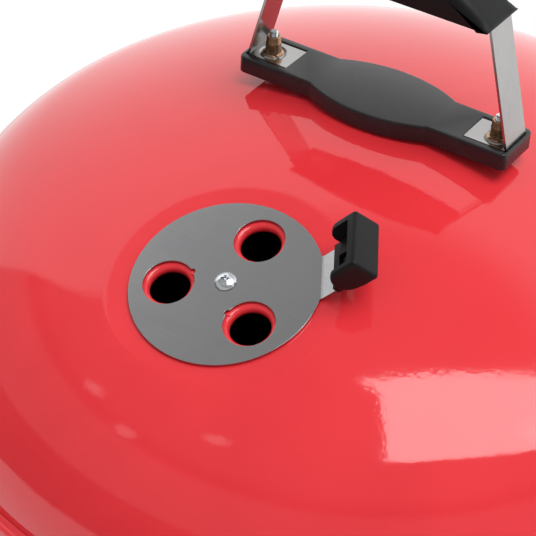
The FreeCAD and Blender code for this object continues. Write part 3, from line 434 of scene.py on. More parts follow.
def loop(shape, points, place=Matrix(), closed=True):
    """A closed or open line through points, as its edges."""
    verts = [shape.verts.new(place @ Vector((*p, 0.0)[:3])) for p in points]
    return [shape.edges.new(pair) for pair in zip(verts, verts[1:] + (verts[:1] if closed else []))]


def move(shape, matrix):
    bmesh.ops.transform(shape, matrix=matrix, verts=shape.verts)


def face_out(shape):
    bmesh.ops.recalc_face_normals(shape, faces=shape.faces)


def weld(shape):
    bmesh.ops.remove_doubles(shape, verts=shape.verts, dist=MERGE)


def lathe(shape, outline, steps, place=Matrix(), closed=False):
    """Spins an outline of (radius, height) points about Z, then puts it in place."""
    part = bmesh.new()
    edges = loop(part, [(r, 0.0, z) for r, z in outline], closed=closed)
    ends = list({v for e in edges for v in e.verts})
    bmesh.ops.spin(part, geom=ends + edges, cent=(0, 0, 0), axis=(0, 0, 1), dvec=(0, 0, 0),
                   angle=math.radians(360.0), steps=steps, use_merge=True)
    weld(part)
    face_out(part)
    join_into(shape, part, place)


def pull(shape, edges):
    """Draws new faces out of edges, and gives the points and edges that are new."""
    grown = bmesh.ops.extrude_edge_only(shape, edges=edges)["geom"]
    kinds = (bmesh.types.BMVert, bmesh.types.BMEdge)
    return tuple([g for g in grown if isinstance(g, kind)] for kind in kinds)


def join_into(shape, part, place=Matrix()):
    """Moves a finished part shape into another one."""
    move(part, place)
    if place.is_negative:
        bmesh.ops.reverse_faces(part, faces=part.faces)
    mesh = to_mesh(part, "part")
    shape.from_mesh(mesh)
    bpy.data.meshes.remove(mesh)


def rim_edges(shape, test=lambda v: True):
    return [e for e in shape.edges if len(e.link_faces) < 2 and all(test(v.co) for v in e.verts)]


def fill(shape, edges, normal=(0, 0, 1)):
    """Closes flat loops, leaving the inner ones as holes."""
    return bmesh.ops.triangle_fill(shape, use_beauty=True, use_dissolve=False, edges=edges, normal=normal)


def slab(outlines, height, low=0.0):
    """A block with straight walls: the first outline is its edge, and the others are holes."""
    part = bmesh.new()
    edges = [e for points in outlines for e in loop(part, [(x, y, low) for x, y in points])]
    fill(part, edges)
    grown = bmesh.ops.extrude_face_region(part, geom=list(part.faces), use_keep_orig=True)
    verts = [v for v in grown["geom"] if isinstance(v, bmesh.types.BMVert)]
    bmesh.ops.translate(part, vec=(0, 0, height), verts=verts)
    face_out(part)
    return part


def bevel(part, edges, width, segments, clamp=True):
    bmesh.ops.bevel(part, geom=edges, offset=width, affect="EDGES", segments=segments, profile=0.5,
                    material=-1, clamp_overlap=clamp)


def soften(part, width, segments=2, angle=35.0, clamp=True):
    """Rounds every edge that is sharper than angle."""
    limit = math.radians(angle)
    edges = [e for e in part.edges if len(e.link_faces) == 2 and e.calc_face_angle(0.0) > limit]
    bevel(part, edges, width, segments, clamp)
    return part


def brick(low, high, width=0.5, segments=2):
    """A block between two corners with rounded edges."""
    part = bmesh.new()
    bmesh.ops.create_cube(part, size=1.0)
    low, high = Vector(low), Vector(high)
    bmesh.ops.scale(part, vec=high - low, verts=part.verts)
    bmesh.ops.translate(part, vec=(low + high) / 2, verts=part.verts)
    return soften(part, width, segments) if width else part


def face_towards(shape, direction):
    """Turns an open sheet so that its largest face looks in direction."""
    largest = max(shape.faces, key=lambda f: f.calc_area())
    largest.normal_update()
    if largest.normal.dot(Vector(direction)) < 0:
        bmesh.ops.reverse_faces(shape, faces=shape.faces)


def make_piece(name, shape, body, materials, replaces=(), sharp=38.0, merge=True):
    """Finishes a shape in millimetres as an object that moves with body."""
    if merge:
        weld(shape)
    bmesh.ops.scale(shape, vec=(MM, MM, MM), verts=shape.verts)
    for face in shape.faces:
        face.smooth = True
    mesh = to_mesh(shape, name)
    for material in materials:
        mesh.materials.append(material)
    mesh.set_sharp_from_angle(angle=math.radians(sharp))
    made = add_object(name, mesh)
    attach(made, body)
    if replaces:
        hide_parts(*replaces)
    print(name, len(mesh.polygons), "faces")
    return made


def thicken(made, thickness, inner=0, bevel=0.0):
    """Gives a sheet its thickness inwards, with another finish inside if there is one."""
    solid = made.modifiers.new("thickness", "SOLIDIFY")
    solid.thickness = thickness * MM
    solid.offset = -1.0
    solid.use_even_offset = True
    solid.material_offset = inner
    solid.material_offset_rim = 0
    if bevel:
        edge = made.modifiers.new("edges", "BEVEL")
        edge.width = bevel * MM
        edge.segments = 2
        edge.limit_method = "ANGLE"
        edge.angle_limit = math.radians(50.0)
        edge.harden_normals = True


def carve(made, tool_shape):
    """Cuts a tool shape, in millimetres and in place, out of a made piece, and applies it."""
    bmesh.ops.scale(tool_shape, vec=(MM, MM, MM), verts=tool_shape.verts)
    face_out(tool_shape)
    tool = add_object("tool", to_mesh(tool_shape, "tool"))
    step = made.modifiers.new("cut", "BOOLEAN")
    step.operation, step.solver, step.object = "DIFFERENCE", "EXACT", tool
    step.use_self = True
    step.material_mode = "INDEX"
    ready = made.evaluated_get(bpy.context.evaluated_depsgraph_get())
    cut = bpy.data.meshes.new_from_object(ready)
    old = made.data
    made.modifiers.clear()
    made.data = cut
    cut.name = made.name
    bpy.data.meshes.remove(old)
    bpy.data.objects.remove(tool)
    cut.set_sharp_from_angle(angle=math.radians(38.0))


# %% [markdown]
# ## The lid
# The lid is one pressed and enamelled steel dome: a shallow crown, a tighter knuckle and a step
# and skirt that sit over the bowl's rim. On its front a flat is pressed for the ventilation
# disc, with three funnel-edged holes. A sphere cut and patched would leave a mesh that glossy
# enamel shows up badly. So the metal is treated as in the press: a flat round blank with its
# rings centred on the disc, spun from one line, is pushed onto the dome and the flat, and the
# two meet in a soft crease.

# %% Measures of the dome
RIM_LEVEL, DOME_RADIUS, DOME_RISE, KNUCKLE = 722.0, 283.0, 162.0, 125.0
KNUCKLE_CENTRE = DOME_RADIUS - KNUCKLE
CROWN = (DOME_RADIUS ** 2 + DOME_RISE ** 2 - 2 * DOME_RADIUS * KNUCKLE) / (2 * (DOME_RISE - KNUCKLE))
APEX = RIM_LEVEL + DOME_RISE
MEET_ANGLE = math.asin(KNUCKLE_CENTRE / (CROWN - KNUCKLE))
MEET_RADIUS = CROWN * math.sin(MEET_ANGLE)
MEET_TRAVEL = CROWN * MEET_ANGLE
RIM_TRAVEL = MEET_TRAVEL + KNUCKLE * (math.pi / 2 - MEET_ANGLE)

SEAT_TILT = 19.764
SEAT_POINT = Vector((0.0, -160.943, 851.063))
SEAT = Matrix.Translation(SEAT_POINT) @ turn(SEAT_TILT, "X")
SEAT_BACK = SEAT.inverted()


def dome_height(radius):
    if radius < MEET_RADIUS:
        return APEX - CROWN + math.sqrt(CROWN ** 2 - radius ** 2)
    return RIM_LEVEL + math.sqrt(max(KNUCKLE ** 2 - (radius - KNUCKLE_CENTRE) ** 2, 0.0))


def travel_to(radius):
    """Distance walked down the dome from its top to a radius."""
    if radius < MEET_RADIUS:
        return CROWN * math.asin(radius / CROWN)
    angle = math.asin(min((radius - KNUCKLE_CENTRE) / KNUCKLE, 1.0))
    return MEET_TRAVEL + KNUCKLE * (angle - MEET_ANGLE)


def walk_down(distance):
    """Radius and height after walking that distance down from the top."""
    if distance < MEET_TRAVEL:
        angle = distance / CROWN
        return CROWN * math.sin(angle), APEX - CROWN + CROWN * math.cos(angle)
    angle = MEET_ANGLE + (distance - MEET_TRAVEL) / KNUCKLE
    return KNUCKLE_CENTRE + KNUCKLE * math.sin(angle), RIM_LEVEL + KNUCKLE * math.cos(angle)


print("crown radius", round(CROWN, 2), "distance from top to rim", round(RIM_TRAVEL, 1))

# %% Press the blank onto the dome
FLAT_EDGE, SEAT_ZONE, BLANK = 58.0, 92.0, 360.0
CREASE_SOFTNESS = 0.30
LID_STEPS = 320


def over_seat(x, y):
    """Height of the dome above the seat's plane."""
    low, high = -90.0, 30.0
    for _ in range(36):
        middle = (low + high) / 2
        point = SEAT @ Vector((x, y, middle))
        if point.z > dome_height(min(point.xy.length, DOME_RADIUS)):
            high = middle
        else:
            low = middle
    return (low + high) / 2


def pressed(x, y):
    """Where a point of the seat zone ends up."""
    rise = over_seat(x, y)
    near = max(CREASE_SOFTNESS - abs(rise), 0.0) / CREASE_SOFTNESS
    return SEAT @ Vector((x, y, min(rise, 0.0) - near * near * CREASE_SOFTNESS / 4))


def on_map(point):
    """A point of the dome as walking distance and heading from the top."""
    return point.xy.normalized() * travel_to(point.xy.length)


def press_blank(x, y):
    reach = math.hypot(x, y)
    if reach <= SEAT_ZONE + 0.01:
        return pressed(x, y)
    way = Vector((x, y)) / reach
    start = on_map(pressed(way.x * SEAT_ZONE, way.y * SEAT_ZONE))
    centre = on_map(SEAT_POINT)
    ahead = (start - centre).normalized()
    along = start.dot(ahead)
    run = -along + math.sqrt(along ** 2 - start.dot(start) + RIM_TRAVEL ** 2)
    spot = start + ahead * run * (reach - SEAT_ZONE) / (BLANK - SEAT_ZONE)
    radius, height = walk_down(min(spot.length, RIM_TRAVEL))
    return Vector((*(spot.normalized() * radius), height))


rings = [FLAT_EDGE, 60.0, 62.0, 63.5] + [64.5 + 0.4 * k for k in range(20)]
rings += [73.0, 75.0, 78.0, 82.0, 87.0, SEAT_ZONE]
rings += [SEAT_ZONE + (BLANK - SEAT_ZONE) * k / 44 for k in range(1, 45)]
lid = bmesh.new()
lathe(lid, [(r, 0.0) for r in rings], LID_STEPS)
for vert in lid.verts:
    vert.co = press_blank(vert.co.x, vert.co.y)
print("blank pressed:", len(lid.verts), "points")

# %% Roll the step and skirt at the rim
SKIRT = [(283.3, 720.9), (284.3, 720.1), (286.0, 719.8), (287.6, 719.6), (288.6, 719.0), (289.0, 718.0),
         (289.0, 714.0), (289.0, 709.6), (288.8, 708.6), (288.2, 708.0), (287.5, 708.3)]
rim = rim_edges(lid, lambda co: co.z < RIM_LEVEL + 1)
for radius, height in SKIRT:
    fresh, rim = pull(lid, rim)
    for vert in fresh:
        vert.co = Vector((*(vert.co.xy.normalized() * radius), height))

# %% Press the ports and the stops of the disc
PORT_CIRCLE, PORT_RADIUS, PORT_ANGLES = 32.4, 11.6, (87.0, 207.0, 327.0)
STOP_CIRCLE, STOP_TURN, STOPPED_PORTS = 21.0, -20.7, (207.0, 327.0)
FUNNEL = [(16.0, 0.0), (15.4, 0.0)] + arc(14.9, -3.3, 3.3, 90.0, 180.0, 8) + [(PORT_RADIUS, -5.0)]
STOP = [(0.0, -0.6), (1.5, -0.5), (1.5, 0.2), (1.35, 0.48), (1.0, 0.66), (0.5, 0.74), (0.0, 0.76)]
for angle in PORT_ANGLES:
    lathe(lid, FUNNEL, 72, SEAT @ turn(angle, "Z") @ at(PORT_CIRCLE))


def on_flat(vert):
    spot = SEAT_BACK @ vert.co
    return abs(spot.z) < 0.02 and spot.xy.length < FLAT_EDGE + 1


flat = [e for e in lid.edges if len(e.link_faces) == 1 and all(on_flat(v) for v in e.verts)]
fill(lid, flat, SEAT.col[2][:3])
weld(lid)
face_out(lid)
face_towards(lid, (0, 0, 1))
lid_piece = make_piece("lid", lid, "lid", [red_enamel, black_enamel],
                       ["lid_shell"], sharp=60.0)
thicken(lid_piece, 1.0, inner=1)
stops = bmesh.new()
for angle in STOPPED_PORTS:
    lathe(stops, STOP, 24, SEAT @ turn(angle + STOP_TURN, "Z") @ at(STOP_CIRCLE))
make_piece("lid_stops", stops, "lid", [red_enamel], ["lid_shell"])

# %% [markdown]
# ## The ventilation disc
# A stainless disc turns on the flat to open and shut the three holes, and a tab bent up at its
# edge carries the grip. The blank is drawn as one outline with its holes, and the tab is drawn
# out of its straight edge in small steps round the bend, as a folding tool would do it.

# %% Cut the disc and fold its tab
DISC_RADIUS, DISC_LOW, DISC_SHEET, DISC_PORT = 55.0, 0.9, 1.2, 14.75
TAB_ANGLE, TAB_HALF, TAB_RISE, TAB_LENGTH, BEND = 29.8, 14.5, 40.0, 37.0, 2.2
SCREW_HEAD, SCREW_SHANK, NOTCH = 6.2, 2.6, 1.7
tab_edge = math.degrees(math.asin(TAB_HALF / DISC_RADIUS))
outline = arc(0, 0, DISC_RADIUS, tab_edge, 360.0 - tab_edge, 176)
holes = []
for angle in PORT_ANGLES:
    way = turn(angle - TAB_ANGLE, "Z")
    bite = turn(angle - TAB_ANGLE + STOP_TURN, "Z") @ Vector((STOP_CIRCLE, 0, 0))
    port = way @ Vector((PORT_CIRCLE, 0, 0))
    ring = [Vector((x, y, 0)) for x, y in circle(port.x, port.y, DISC_PORT, 96)]
    if angle in STOPPED_PORTS:
        ring = [p for p in ring if (p - bite).length > NOTCH]
        ring += [p for p in (Vector((x, y, 0)) for x, y in circle(bite.x, bite.y, NOTCH, 32))
                 if (p - port).length > DISC_PORT]
    holes.append(sorted((p.to_tuple() for p in ring),
                        key=lambda p: math.atan2(p[1] - port.y, p[0] - port.x)))
disc = bmesh.new()
edges = loop(disc, outline)
for hole in holes:
    edges += loop(disc, hole)
edges += loop(disc, circle(0, 0, SCREW_SHANK, 24))
fill(disc, edges)
tab_line = [e for e in disc.edges if len(e.link_faces) == 1
            and all(abs(abs(v.co.y) - TAB_HALF) < 0.01 and v.co.x > 50 for v in e.verts)]
tab_start = DISC_RADIUS * math.cos(math.radians(tab_edge))
fold = [(tab_start + 0.4, 0.0)]
fold += [(tab_start + 0.4 + BEND * math.sin(math.radians(t)), BEND * (1 - math.cos(math.radians(t))))
         for t in range(5, int(TAB_RISE) + 1, 5)]
last_x, last_z = fold[-1]
for run, less in ((TAB_LENGTH - 4, 0), (TAB_LENGTH - 1.2, 1.2), (TAB_LENGTH, 4)):
    fold.append((last_x + run * math.cos(math.radians(TAB_RISE)),
                 last_z + run * math.sin(math.radians(TAB_RISE)), TAB_HALF - less))
for x, z, *half in fold:
    fresh, lines = pull(disc, tab_line)
    for vert in fresh:
        vert.co = Vector((x, math.copysign(half[0] if half else TAB_HALF, vert.co.y), z))
    tab_line = [e for e in lines if all(abs(v.co.x - x) < 0.001 for v in e.verts)]
face_out(disc)
face_towards(disc, (0, 0, 1))
DISC = SEAT @ turn(TAB_ANGLE, "Z") @ at(z=DISC_LOW + DISC_SHEET)
move(disc, DISC)
disc_piece = make_piece("damper_disc", disc, "damper", [disc_steel], ["damper_plate"])
thicken(disc_piece, DISC_SHEET, bevel=0.22)

# %% [markdown]
# ## The disc's grip
# A moulded clip is pushed on the tab. Its body is one block with a round nose, hollowed above
# and below so that two cheeks, a thick end and a web along the tab are left. A small barb shows
# in the web's window, where it snaps through the steel.

# %% Mould the grip
GRIP_HALF, CHEEK, SLOT_GAP = 18.3, 4.3, 0.2
TAB = (SEAT @ turn(TAB_ANGLE, "Z") @ at(tab_start + 0.9, 0, DISC_LOW + DISC_SHEET / 2)
       @ turn(-TAB_RISE, "Y"))
grip = bmesh.new()
cheek_outline = [(40.2, -5.0), (40.2, 14.0), (25.5, 14.0)] + arc(25.5, 5.0, 9.0, 90.0, 262.0, 12)[1:]
cheek_outline += [(30.0, -5.0)]
join_into(grip, soften(slab([cheek_outline], 2 * GRIP_HALF), 2.2, 5, clamp=False),
          at(0, -GRIP_HALF, 0) @ ON_EDGE)
join_into(grip, brick((11.5, CHEEK - GRIP_HALF - 1, -2.0), (36.0, GRIP_HALF - CHEEK + 1, 2.6), 0.5))
face_out(grip)
move(grip, TAB)
clip = make_piece("damper_clip", grip, "damper", [grip_plastic], ["damper_grip"],
                  merge=False)
pocket = bmesh.new()
for low, high in ((2.7, 30.0), (-30.0, -2.0)):
    join_into(pocket, brick((0.0, CHEEK - GRIP_HALF, low), (34.5, GRIP_HALF - CHEEK, high), 0.8, 3))
join_into(pocket, brick((16.0, -5.5, -10.0), (27.0, 5.5, 10.0), 0.4, 2))
join_into(pocket, brick((0.0, -TAB_HALF - SLOT_GAP, -0.8), (38.0, TAB_HALF + SLOT_GAP, 0.8), 0.0))
move(pocket, TAB)
carve(clip, pocket)
barb = bmesh.new()
join_into(barb, soften(slab([[(17.5, 0.7), (26.5, 0.7), (26.5, 3.4)]], 8.0, -4.0), 0.2), ON_EDGE)
face_out(barb)
move(barb, TAB)
make_piece("damper_barb", barb, "damper", [grip_plastic], ["damper_grip"])

# %% [markdown]
# ## The disc's screw
# One domed zinc screw with a cross recess holds the disc. The head is spun, and the cross is
# pressed in by a boolean cut with a small tapered cross, as the heading tool does.

# %% Turn the screw and press its recess
HEAD_LOW = DISC_LOW + DISC_SHEET + 0.1
CROSS_SIZE, CROSS_TAPER, CROSS_TURN = 7.6, 0.35, 20.0
head = [(0.0, HEAD_LOW - 9.0), (SCREW_SHANK, HEAD_LOW - 9.0), (SCREW_SHANK, HEAD_LOW),
        (SCREW_HEAD - 0.3, HEAD_LOW)]
head += [(SCREW_HEAD, HEAD_LOW + 0.35)] + arc(0, HEAD_LOW - 4.86, 8.1, 40.0, 90.0, 14)
screw = bmesh.new()
lathe(screw, head, 64)
face_out(screw)
move(screw, SEAT)
screw_piece = make_piece("damper_pivot", screw, "lid", [zinc], ["damper_screw"])
cross = bmesh.new()
for angle in (0.0, 90.0):
    arm = bmesh.new()
    bmesh.ops.create_cube(arm, size=1.0)
    bmesh.ops.scale(arm, vec=(CROSS_SIZE, CROSS_SIZE * 0.2, CROSS_SIZE * 0.62), verts=arm.verts)
    for vert in arm.verts:
        if vert.co.z < 0:
            vert.co.x *= CROSS_TAPER
    join_into(cross, arm, turn(angle, "Z"))
move(cross, at(z=HEAD_LOW + 3.3) @ turn(CROSS_TURN, "Z"))
move(cross, SEAT)
carve(screw_piece, cross)

# %% [markdown]
# ## The heat shield under the handle
# A moulded plate keeps the hand away from the hot lid. It has straight ends with windows for the
# handle's feet, each closed by a thin floor, and a swelling middle on each long side that meets
# the ends in a crisp corner.

# %% Mould the shield
SHIELD_LOW, SHIELD_TOP = APEX + 1.0, APEX + 12.1
SHIELD_LONG, SHIELD_WIDE, BULGE, BULGE_CROWN, CORNER = 92.0, 17.4, 40.6, 10.4, 4.0
WINDOW_START, WINDOW_END, WINDOW_HALF = 61.3, 90.0, 12.6
bulge_radius = (BULGE ** 2 + BULGE_CROWN ** 2) / (2 * BULGE_CROWN)
bulge_angle = math.degrees(math.asin(BULGE / bulge_radius))


def shield_side(side):
    """One long side of the shield's outline, from its left end to its right."""
    centre = SHIELD_WIDE + BULGE_CROWN - bulge_radius
    swell = [(x, side * y) for x, y in arc(0, centre, bulge_radius, 90 + bulge_angle, 90 - bulge_angle, 40)]
    corner = [(x, side * y) for x, y in arc(SHIELD_LONG - CORNER, SHIELD_WIDE - CORNER, CORNER, 90, 0, 8)]
    return [(-x, y) for x, y in reversed(corner)] + swell + corner


def window(side):
    a, b, h = side * WINDOW_START, side * WINDOW_END, WINDOW_HALF
    return [(a, -h), (b, -h), (b, h), (a, h)]


outline = shield_side(1) + list(reversed(shield_side(-1)))
shield = slab([outline, window(1), window(-1)], SHIELD_TOP - SHIELD_LOW, SHIELD_LOW)
soften(shield, 0.9, 3, angle=60.0)
for side in (-1, 1):
    a, b = sorted((side * (WINDOW_START - 1.5), side * (WINDOW_END + 0.6)))
    join_into(shield, brick((a, -14.0, SHIELD_LOW + 1.5), (b, 14.0, SHIELD_LOW + 4.6), 0.3))
make_piece("handle_shield", shield, "lid", [shield_plastic], ["heat_shield"], sharp=32.0)

# %% [markdown]
# ## The handle's straps
# Each end of the handle is a stainless strap: a foot under the nut with a round dish pressed in
# it, a leaning upright and a flange under the grip. The strap is drawn as its path, rounded at
# both bends, and its width comes from one extrusion.

# %% Bend the straps
STRAP_SHEET, STRAP_BEND, LEAN = 1.6, 0.9, 14.6
STRAP_FRONT, STRAP_REAR = -11.0, 12.4
FOOT_LEVEL, FLANGE_LEVEL = APEX + 9.6, APEX + 85.0
STUD_X, DISH_RIM, EYE, UPRIGHT_X = 78.0, 9.6, 3.0, 90.2
FOOT_START, FLANGE_LONG = 46.0, 32.0
FOOT_END = STUD_X + DISH_RIM + 0.1


def rounded_path(points, radius, steps=6):
    """A line with its inner corners rounded."""
    path = [points[0]]
    for before, here, after in zip(points, points[1:], points[2:]):
        here = Vector(here)
        first, second = (Vector(before) - here).normalized(), (Vector(after) - here).normalized()
        half = first.angle(second) / 2
        reach = radius / math.tan(half)
        centre = here + (first + second).normalized() * radius / math.sin(half)
        start, end = here + first * reach - centre, here + second * reach - centre
        sweep = start.angle_signed(end)
        path += [tuple(centre + Matrix.Rotation(-sweep * k / steps, 2) @ start) for k in range(steps + 1)]
    return path + [points[-1]]


lean = math.tan(math.radians(LEAN))
top_x = UPRIGHT_X - (FLANGE_LEVEL - FOOT_LEVEL) * lean
upright = rounded_path([(FOOT_END, FOOT_LEVEL), (UPRIGHT_X, FOOT_LEVEL), (top_x, FLANGE_LEVEL),
                        (top_x - FLANGE_LONG, FLANGE_LEVEL)], STRAP_BEND)
DISH = [(DISH_RIM, 0.0), (9.2, -0.15), (8.6, -0.9), (8.0, -1.5), (7.2, -1.6), (6.6, -1.2),
        (6.0, -0.3), (5.6, 0.1), (EYE, 0.1)]
for label, angle, front, rear in (("right", 0.0, STRAP_FRONT, STRAP_REAR),
                                  ("left", 180.0, -STRAP_REAR, -STRAP_FRONT)):
    strap = bmesh.new()
    foot = [(FOOT_START, front), (FOOT_END, front), (FOOT_END, rear), (FOOT_START, rear)]
    edges = loop(strap, [(x, y, FOOT_LEVEL) for x, y in foot])
    lathe(strap, DISH, 48, at(STUD_X, 0, FOOT_LEVEL))
    edges += [e for e in strap.edges if len(e.link_faces) == 1 and all(
        abs(math.hypot(v.co.x - STUD_X, v.co.y) - DISH_RIM) < 0.05 for v in e.verts)]
    fill(strap, edges)
    line = [e for e in strap.edges if all(abs(v.co.x - FOOT_END) < 0.01 for v in e.verts)]
    for x, z in upright[1:]:
        fresh, lines = pull(strap, line)
        for vert in fresh:
            vert.co.x, vert.co.z = x, z
        line = [e for e in lines
                if all(abs(v.co.x - x) < 0.001 and abs(v.co.z - z) < 0.001 for v in e.verts)]
    weld(strap)
    face_out(strap)
    face_towards(strap, (0, 0, 1))
    move(strap, turn(angle, "Z"))
    piece = make_piece("handle_strap_" + label, strap, "lid", [strap_steel],
                       ["handle_bracket_" + label])
    thicken(piece, STRAP_SHEET, bevel=0.25)

# %% [markdown]
# ## Studs and nuts of the handle
# A threaded stud stands on the lid at each end, with a flanged barrel nut of yellow-brown zinc
# pulled down on the strap's dish. Both are turned parts, so both are spun from outlines.

# %% Turn the studs and nuts
NUT_SEAT = FOOT_LEVEL + 0.15
THREAD = [(2.6 if k % 2 else 2.3, APEX + 20.0 + 0.4 * k) for k in range(14)]
STUD = ([(0.0, APEX - 4.0), (4.8, APEX - 4.0), (4.8, FOOT_LEVEL - STRAP_SHEET),
         (2.6, FOOT_LEVEL - STRAP_SHEET)]
        + THREAD + [(2.5, APEX + 25.7), (1.9, APEX + 26.2), (0.0, APEX + 26.25)])
NUT = [(2.6, NUT_SEAT), (5.4, NUT_SEAT), (6.3, NUT_SEAT + 0.3), (6.7, NUT_SEAT + 1.0), (6.6, NUT_SEAT + 1.7),
       (6.0, NUT_SEAT + 2.2), (5.15, NUT_SEAT + 2.6), (5.0, NUT_SEAT + 3.2), (4.75, APEX + 18.0),
       (4.75, APEX + 18.3), (4.45, APEX + 18.8), (4.4, APEX + 22.4), (4.1, APEX + 23.0),
       (3.2, APEX + 23.0), (2.6, APEX + 22.4)]
studs, nuts = bmesh.new(), bmesh.new()
for side in (-1, 1):
    lathe(studs, STUD, 40, at(side * STUD_X))
    lathe(nuts, NUT, 56, at(side * STUD_X))
make_piece("handle_studs", studs, "lid", [zinc], ["lid_studs"])
make_piece("handle_barrel_nuts", nuts, "lid", [bronze_zinc], ["handle_nuts"])

# %% [markdown]
# ## The handle's grip
# The hand holds a moulded bar with flat ends over the straps and an arched top, rounded along
# both long edges.

# %% Mould the handle's grip
HOLD_HALF, HOLD_LONG, HOLD_END, HOLD_CROWN = 18.0, 72.0, 2.0, 29.0
HOLD_ROUND, HOLD_EDGE = 7.0, 0.8
arch = (HOLD_LONG ** 2 + (HOLD_CROWN - HOLD_END) ** 2) / (2 * (HOLD_CROWN - HOLD_END))
half_angle = math.degrees(math.asin(HOLD_LONG / arch))
profile = [(-HOLD_LONG, 0.0), (HOLD_LONG, 0.0)]
profile += arc(0, HOLD_CROWN - arch, arch, 90 - half_angle, 90 + half_angle, 48)
hold = bmesh.new()
join_into(hold, slab([profile], 2 * HOLD_HALF, -HOLD_HALF), at(z=FLANGE_LEVEL) @ ON_EDGE)
face_out(hold)
top_rim = [e for e in hold.edges if e.calc_face_angle(0.0) > 1.0
           and abs(e.verts[0].co.y - e.verts[1].co.y) < 0.1
           and all(v.co.z > FLANGE_LEVEL + 1 for v in e.verts)]
bevel(hold, top_rim, HOLD_ROUND, 8, clamp=False)
low_rim = [e for e in hold.edges if e.calc_face_angle(0.0) > 1.0]
bevel(hold, low_rim, HOLD_EDGE, 3)
make_piece("handle_grip", hold, "lid", [grip_plastic], ["lid_grip"], sharp=50.0)

# %% [markdown]
# ## The bowl
# The bowl is the lid's deeper twin: one spun line from its rolled rim down to the middle, black
# inside. Three round vents and the hole of the ash sweeper are punched through its floor.

# %% Spin and punch the bowl
BEAD_LEVEL, BEAD, BOWL_DEPTH, BOWL_KNUCKLE = 717.7, 4.0, 235.0, 100.0
VENT_CIRCLE, VENT_RADIUS, VENT_ANGLES, BUSH_RADIUS = 58, 17, (30.0, 150.0, 270.0), 8
PUNCH_LOW, PUNCH_HIGH = 440, 540
bowl_crown = DOME_RADIUS ** 2 + BOWL_DEPTH ** 2 - 2 * DOME_RADIUS * BOWL_KNUCKLE
bowl_crown /= 2 * (BOWL_DEPTH - BOWL_KNUCKLE)
knuckle_angle = math.degrees(math.asin((DOME_RADIUS - BOWL_KNUCKLE) / (bowl_crown - BOWL_KNUCKLE)))
side_line = arc(DOME_RADIUS, BEAD_LEVEL, BEAD, 80, -70, 12)
side_line += arc(DOME_RADIUS - BOWL_KNUCKLE, BEAD_LEVEL, BOWL_KNUCKLE, -3.0, knuckle_angle - 90, 24)
side_line += arc(0, BEAD_LEVEL - BOWL_DEPTH + bowl_crown, bowl_crown, knuckle_angle - 90.0, -90.0, 44)[1:]
side_line[-1] = (0.0, side_line[-1][1])
bowl = bmesh.new()
lathe(bowl, side_line, 192)
face_towards(bowl, (0, 0, -1))
bowl_piece = make_piece("bowl", bowl, "kettle", [red_enamel, black_enamel],
                        ["bowl_shell"], sharp=60.0)
thicken(bowl_piece, 1.0, inner=1)
punch = bmesh.new()
for radius, steps, place in ([(VENT_RADIUS, 64, turn(a, "Z") @ at(VENT_CIRCLE)) for a in VENT_ANGLES]
                             + [(BUSH_RADIUS, 48, Matrix())]):
    lathe(punch, [(0, PUNCH_LOW), (radius, PUNCH_LOW), (radius, PUNCH_HIGH), (0, PUNCH_HIGH)], steps, place)
carve(bowl_piece, punch)
for face in bowl_piece.data.polygons:
    face.use_smooth = True

# %% [markdown]
# ## Bent wire
# The grates, the shelf and the bowl's handles are round wire. A short rod is a cone operator with
# equal ends, a ring is a spun circle, and a bent piece is a circle drawn along its path.


# %% Wire tools
def rod(shape, start, end, radius):
    """A straight wire with closed ends."""
    start, end = Vector(start), Vector(end)
    part = bmesh.new()
    bmesh.ops.create_cone(part, cap_ends=True, segments=12, radius1=radius, radius2=radius,
                          depth=(end - start).length)
    for vert in part.verts:
        vert.co.z += (end - start).length / 2
    aim = (end - start).to_track_quat("Z", "Y").to_matrix().to_4x4()
    join_into(shape, part, Matrix.Translation(start) @ aim)


def bent_rod(shape, path, radius, sides=14):
    """A wire drawn along a path, with closed ends."""
    path = [Vector(p) for p in path]
    part = bmesh.new()
    aims = [path[1] - path[0]] + [c - a for a, c in zip(path, path[2:])] + [path[-1] - path[-2]]
    frames = [Matrix.Translation(p) @ a.to_track_quat("Z", "X").to_matrix().to_4x4()
              for p, a in zip(path, aims)]
    line = loop(part, circle(0, 0, radius, sides), frames[0])
    for before, here in zip(frames, frames[1:]):
        fresh, lines = pull(part, line)
        bmesh.ops.transform(part, matrix=here @ before.inverted(), verts=fresh)
        line = [e for e in lines if set(e.verts) <= set(fresh)]
    bmesh.ops.holes_fill(part, edges=rim_edges(part))
    face_out(part)
    join_into(shape, part)


def half_chord(reach, offset):
    return math.sqrt(max(reach ** 2 - offset ** 2, 0.0))


# %% [markdown]
# ## The grates and the shelf
# The cooking grate is a ring with close rods over two cross wires, two lift loops and, past a
# hinge wire on each side, a flap that folds up for adding charcoal. The charcoal grate and the
# shelf below the bowl are plainer racks of the same kind.

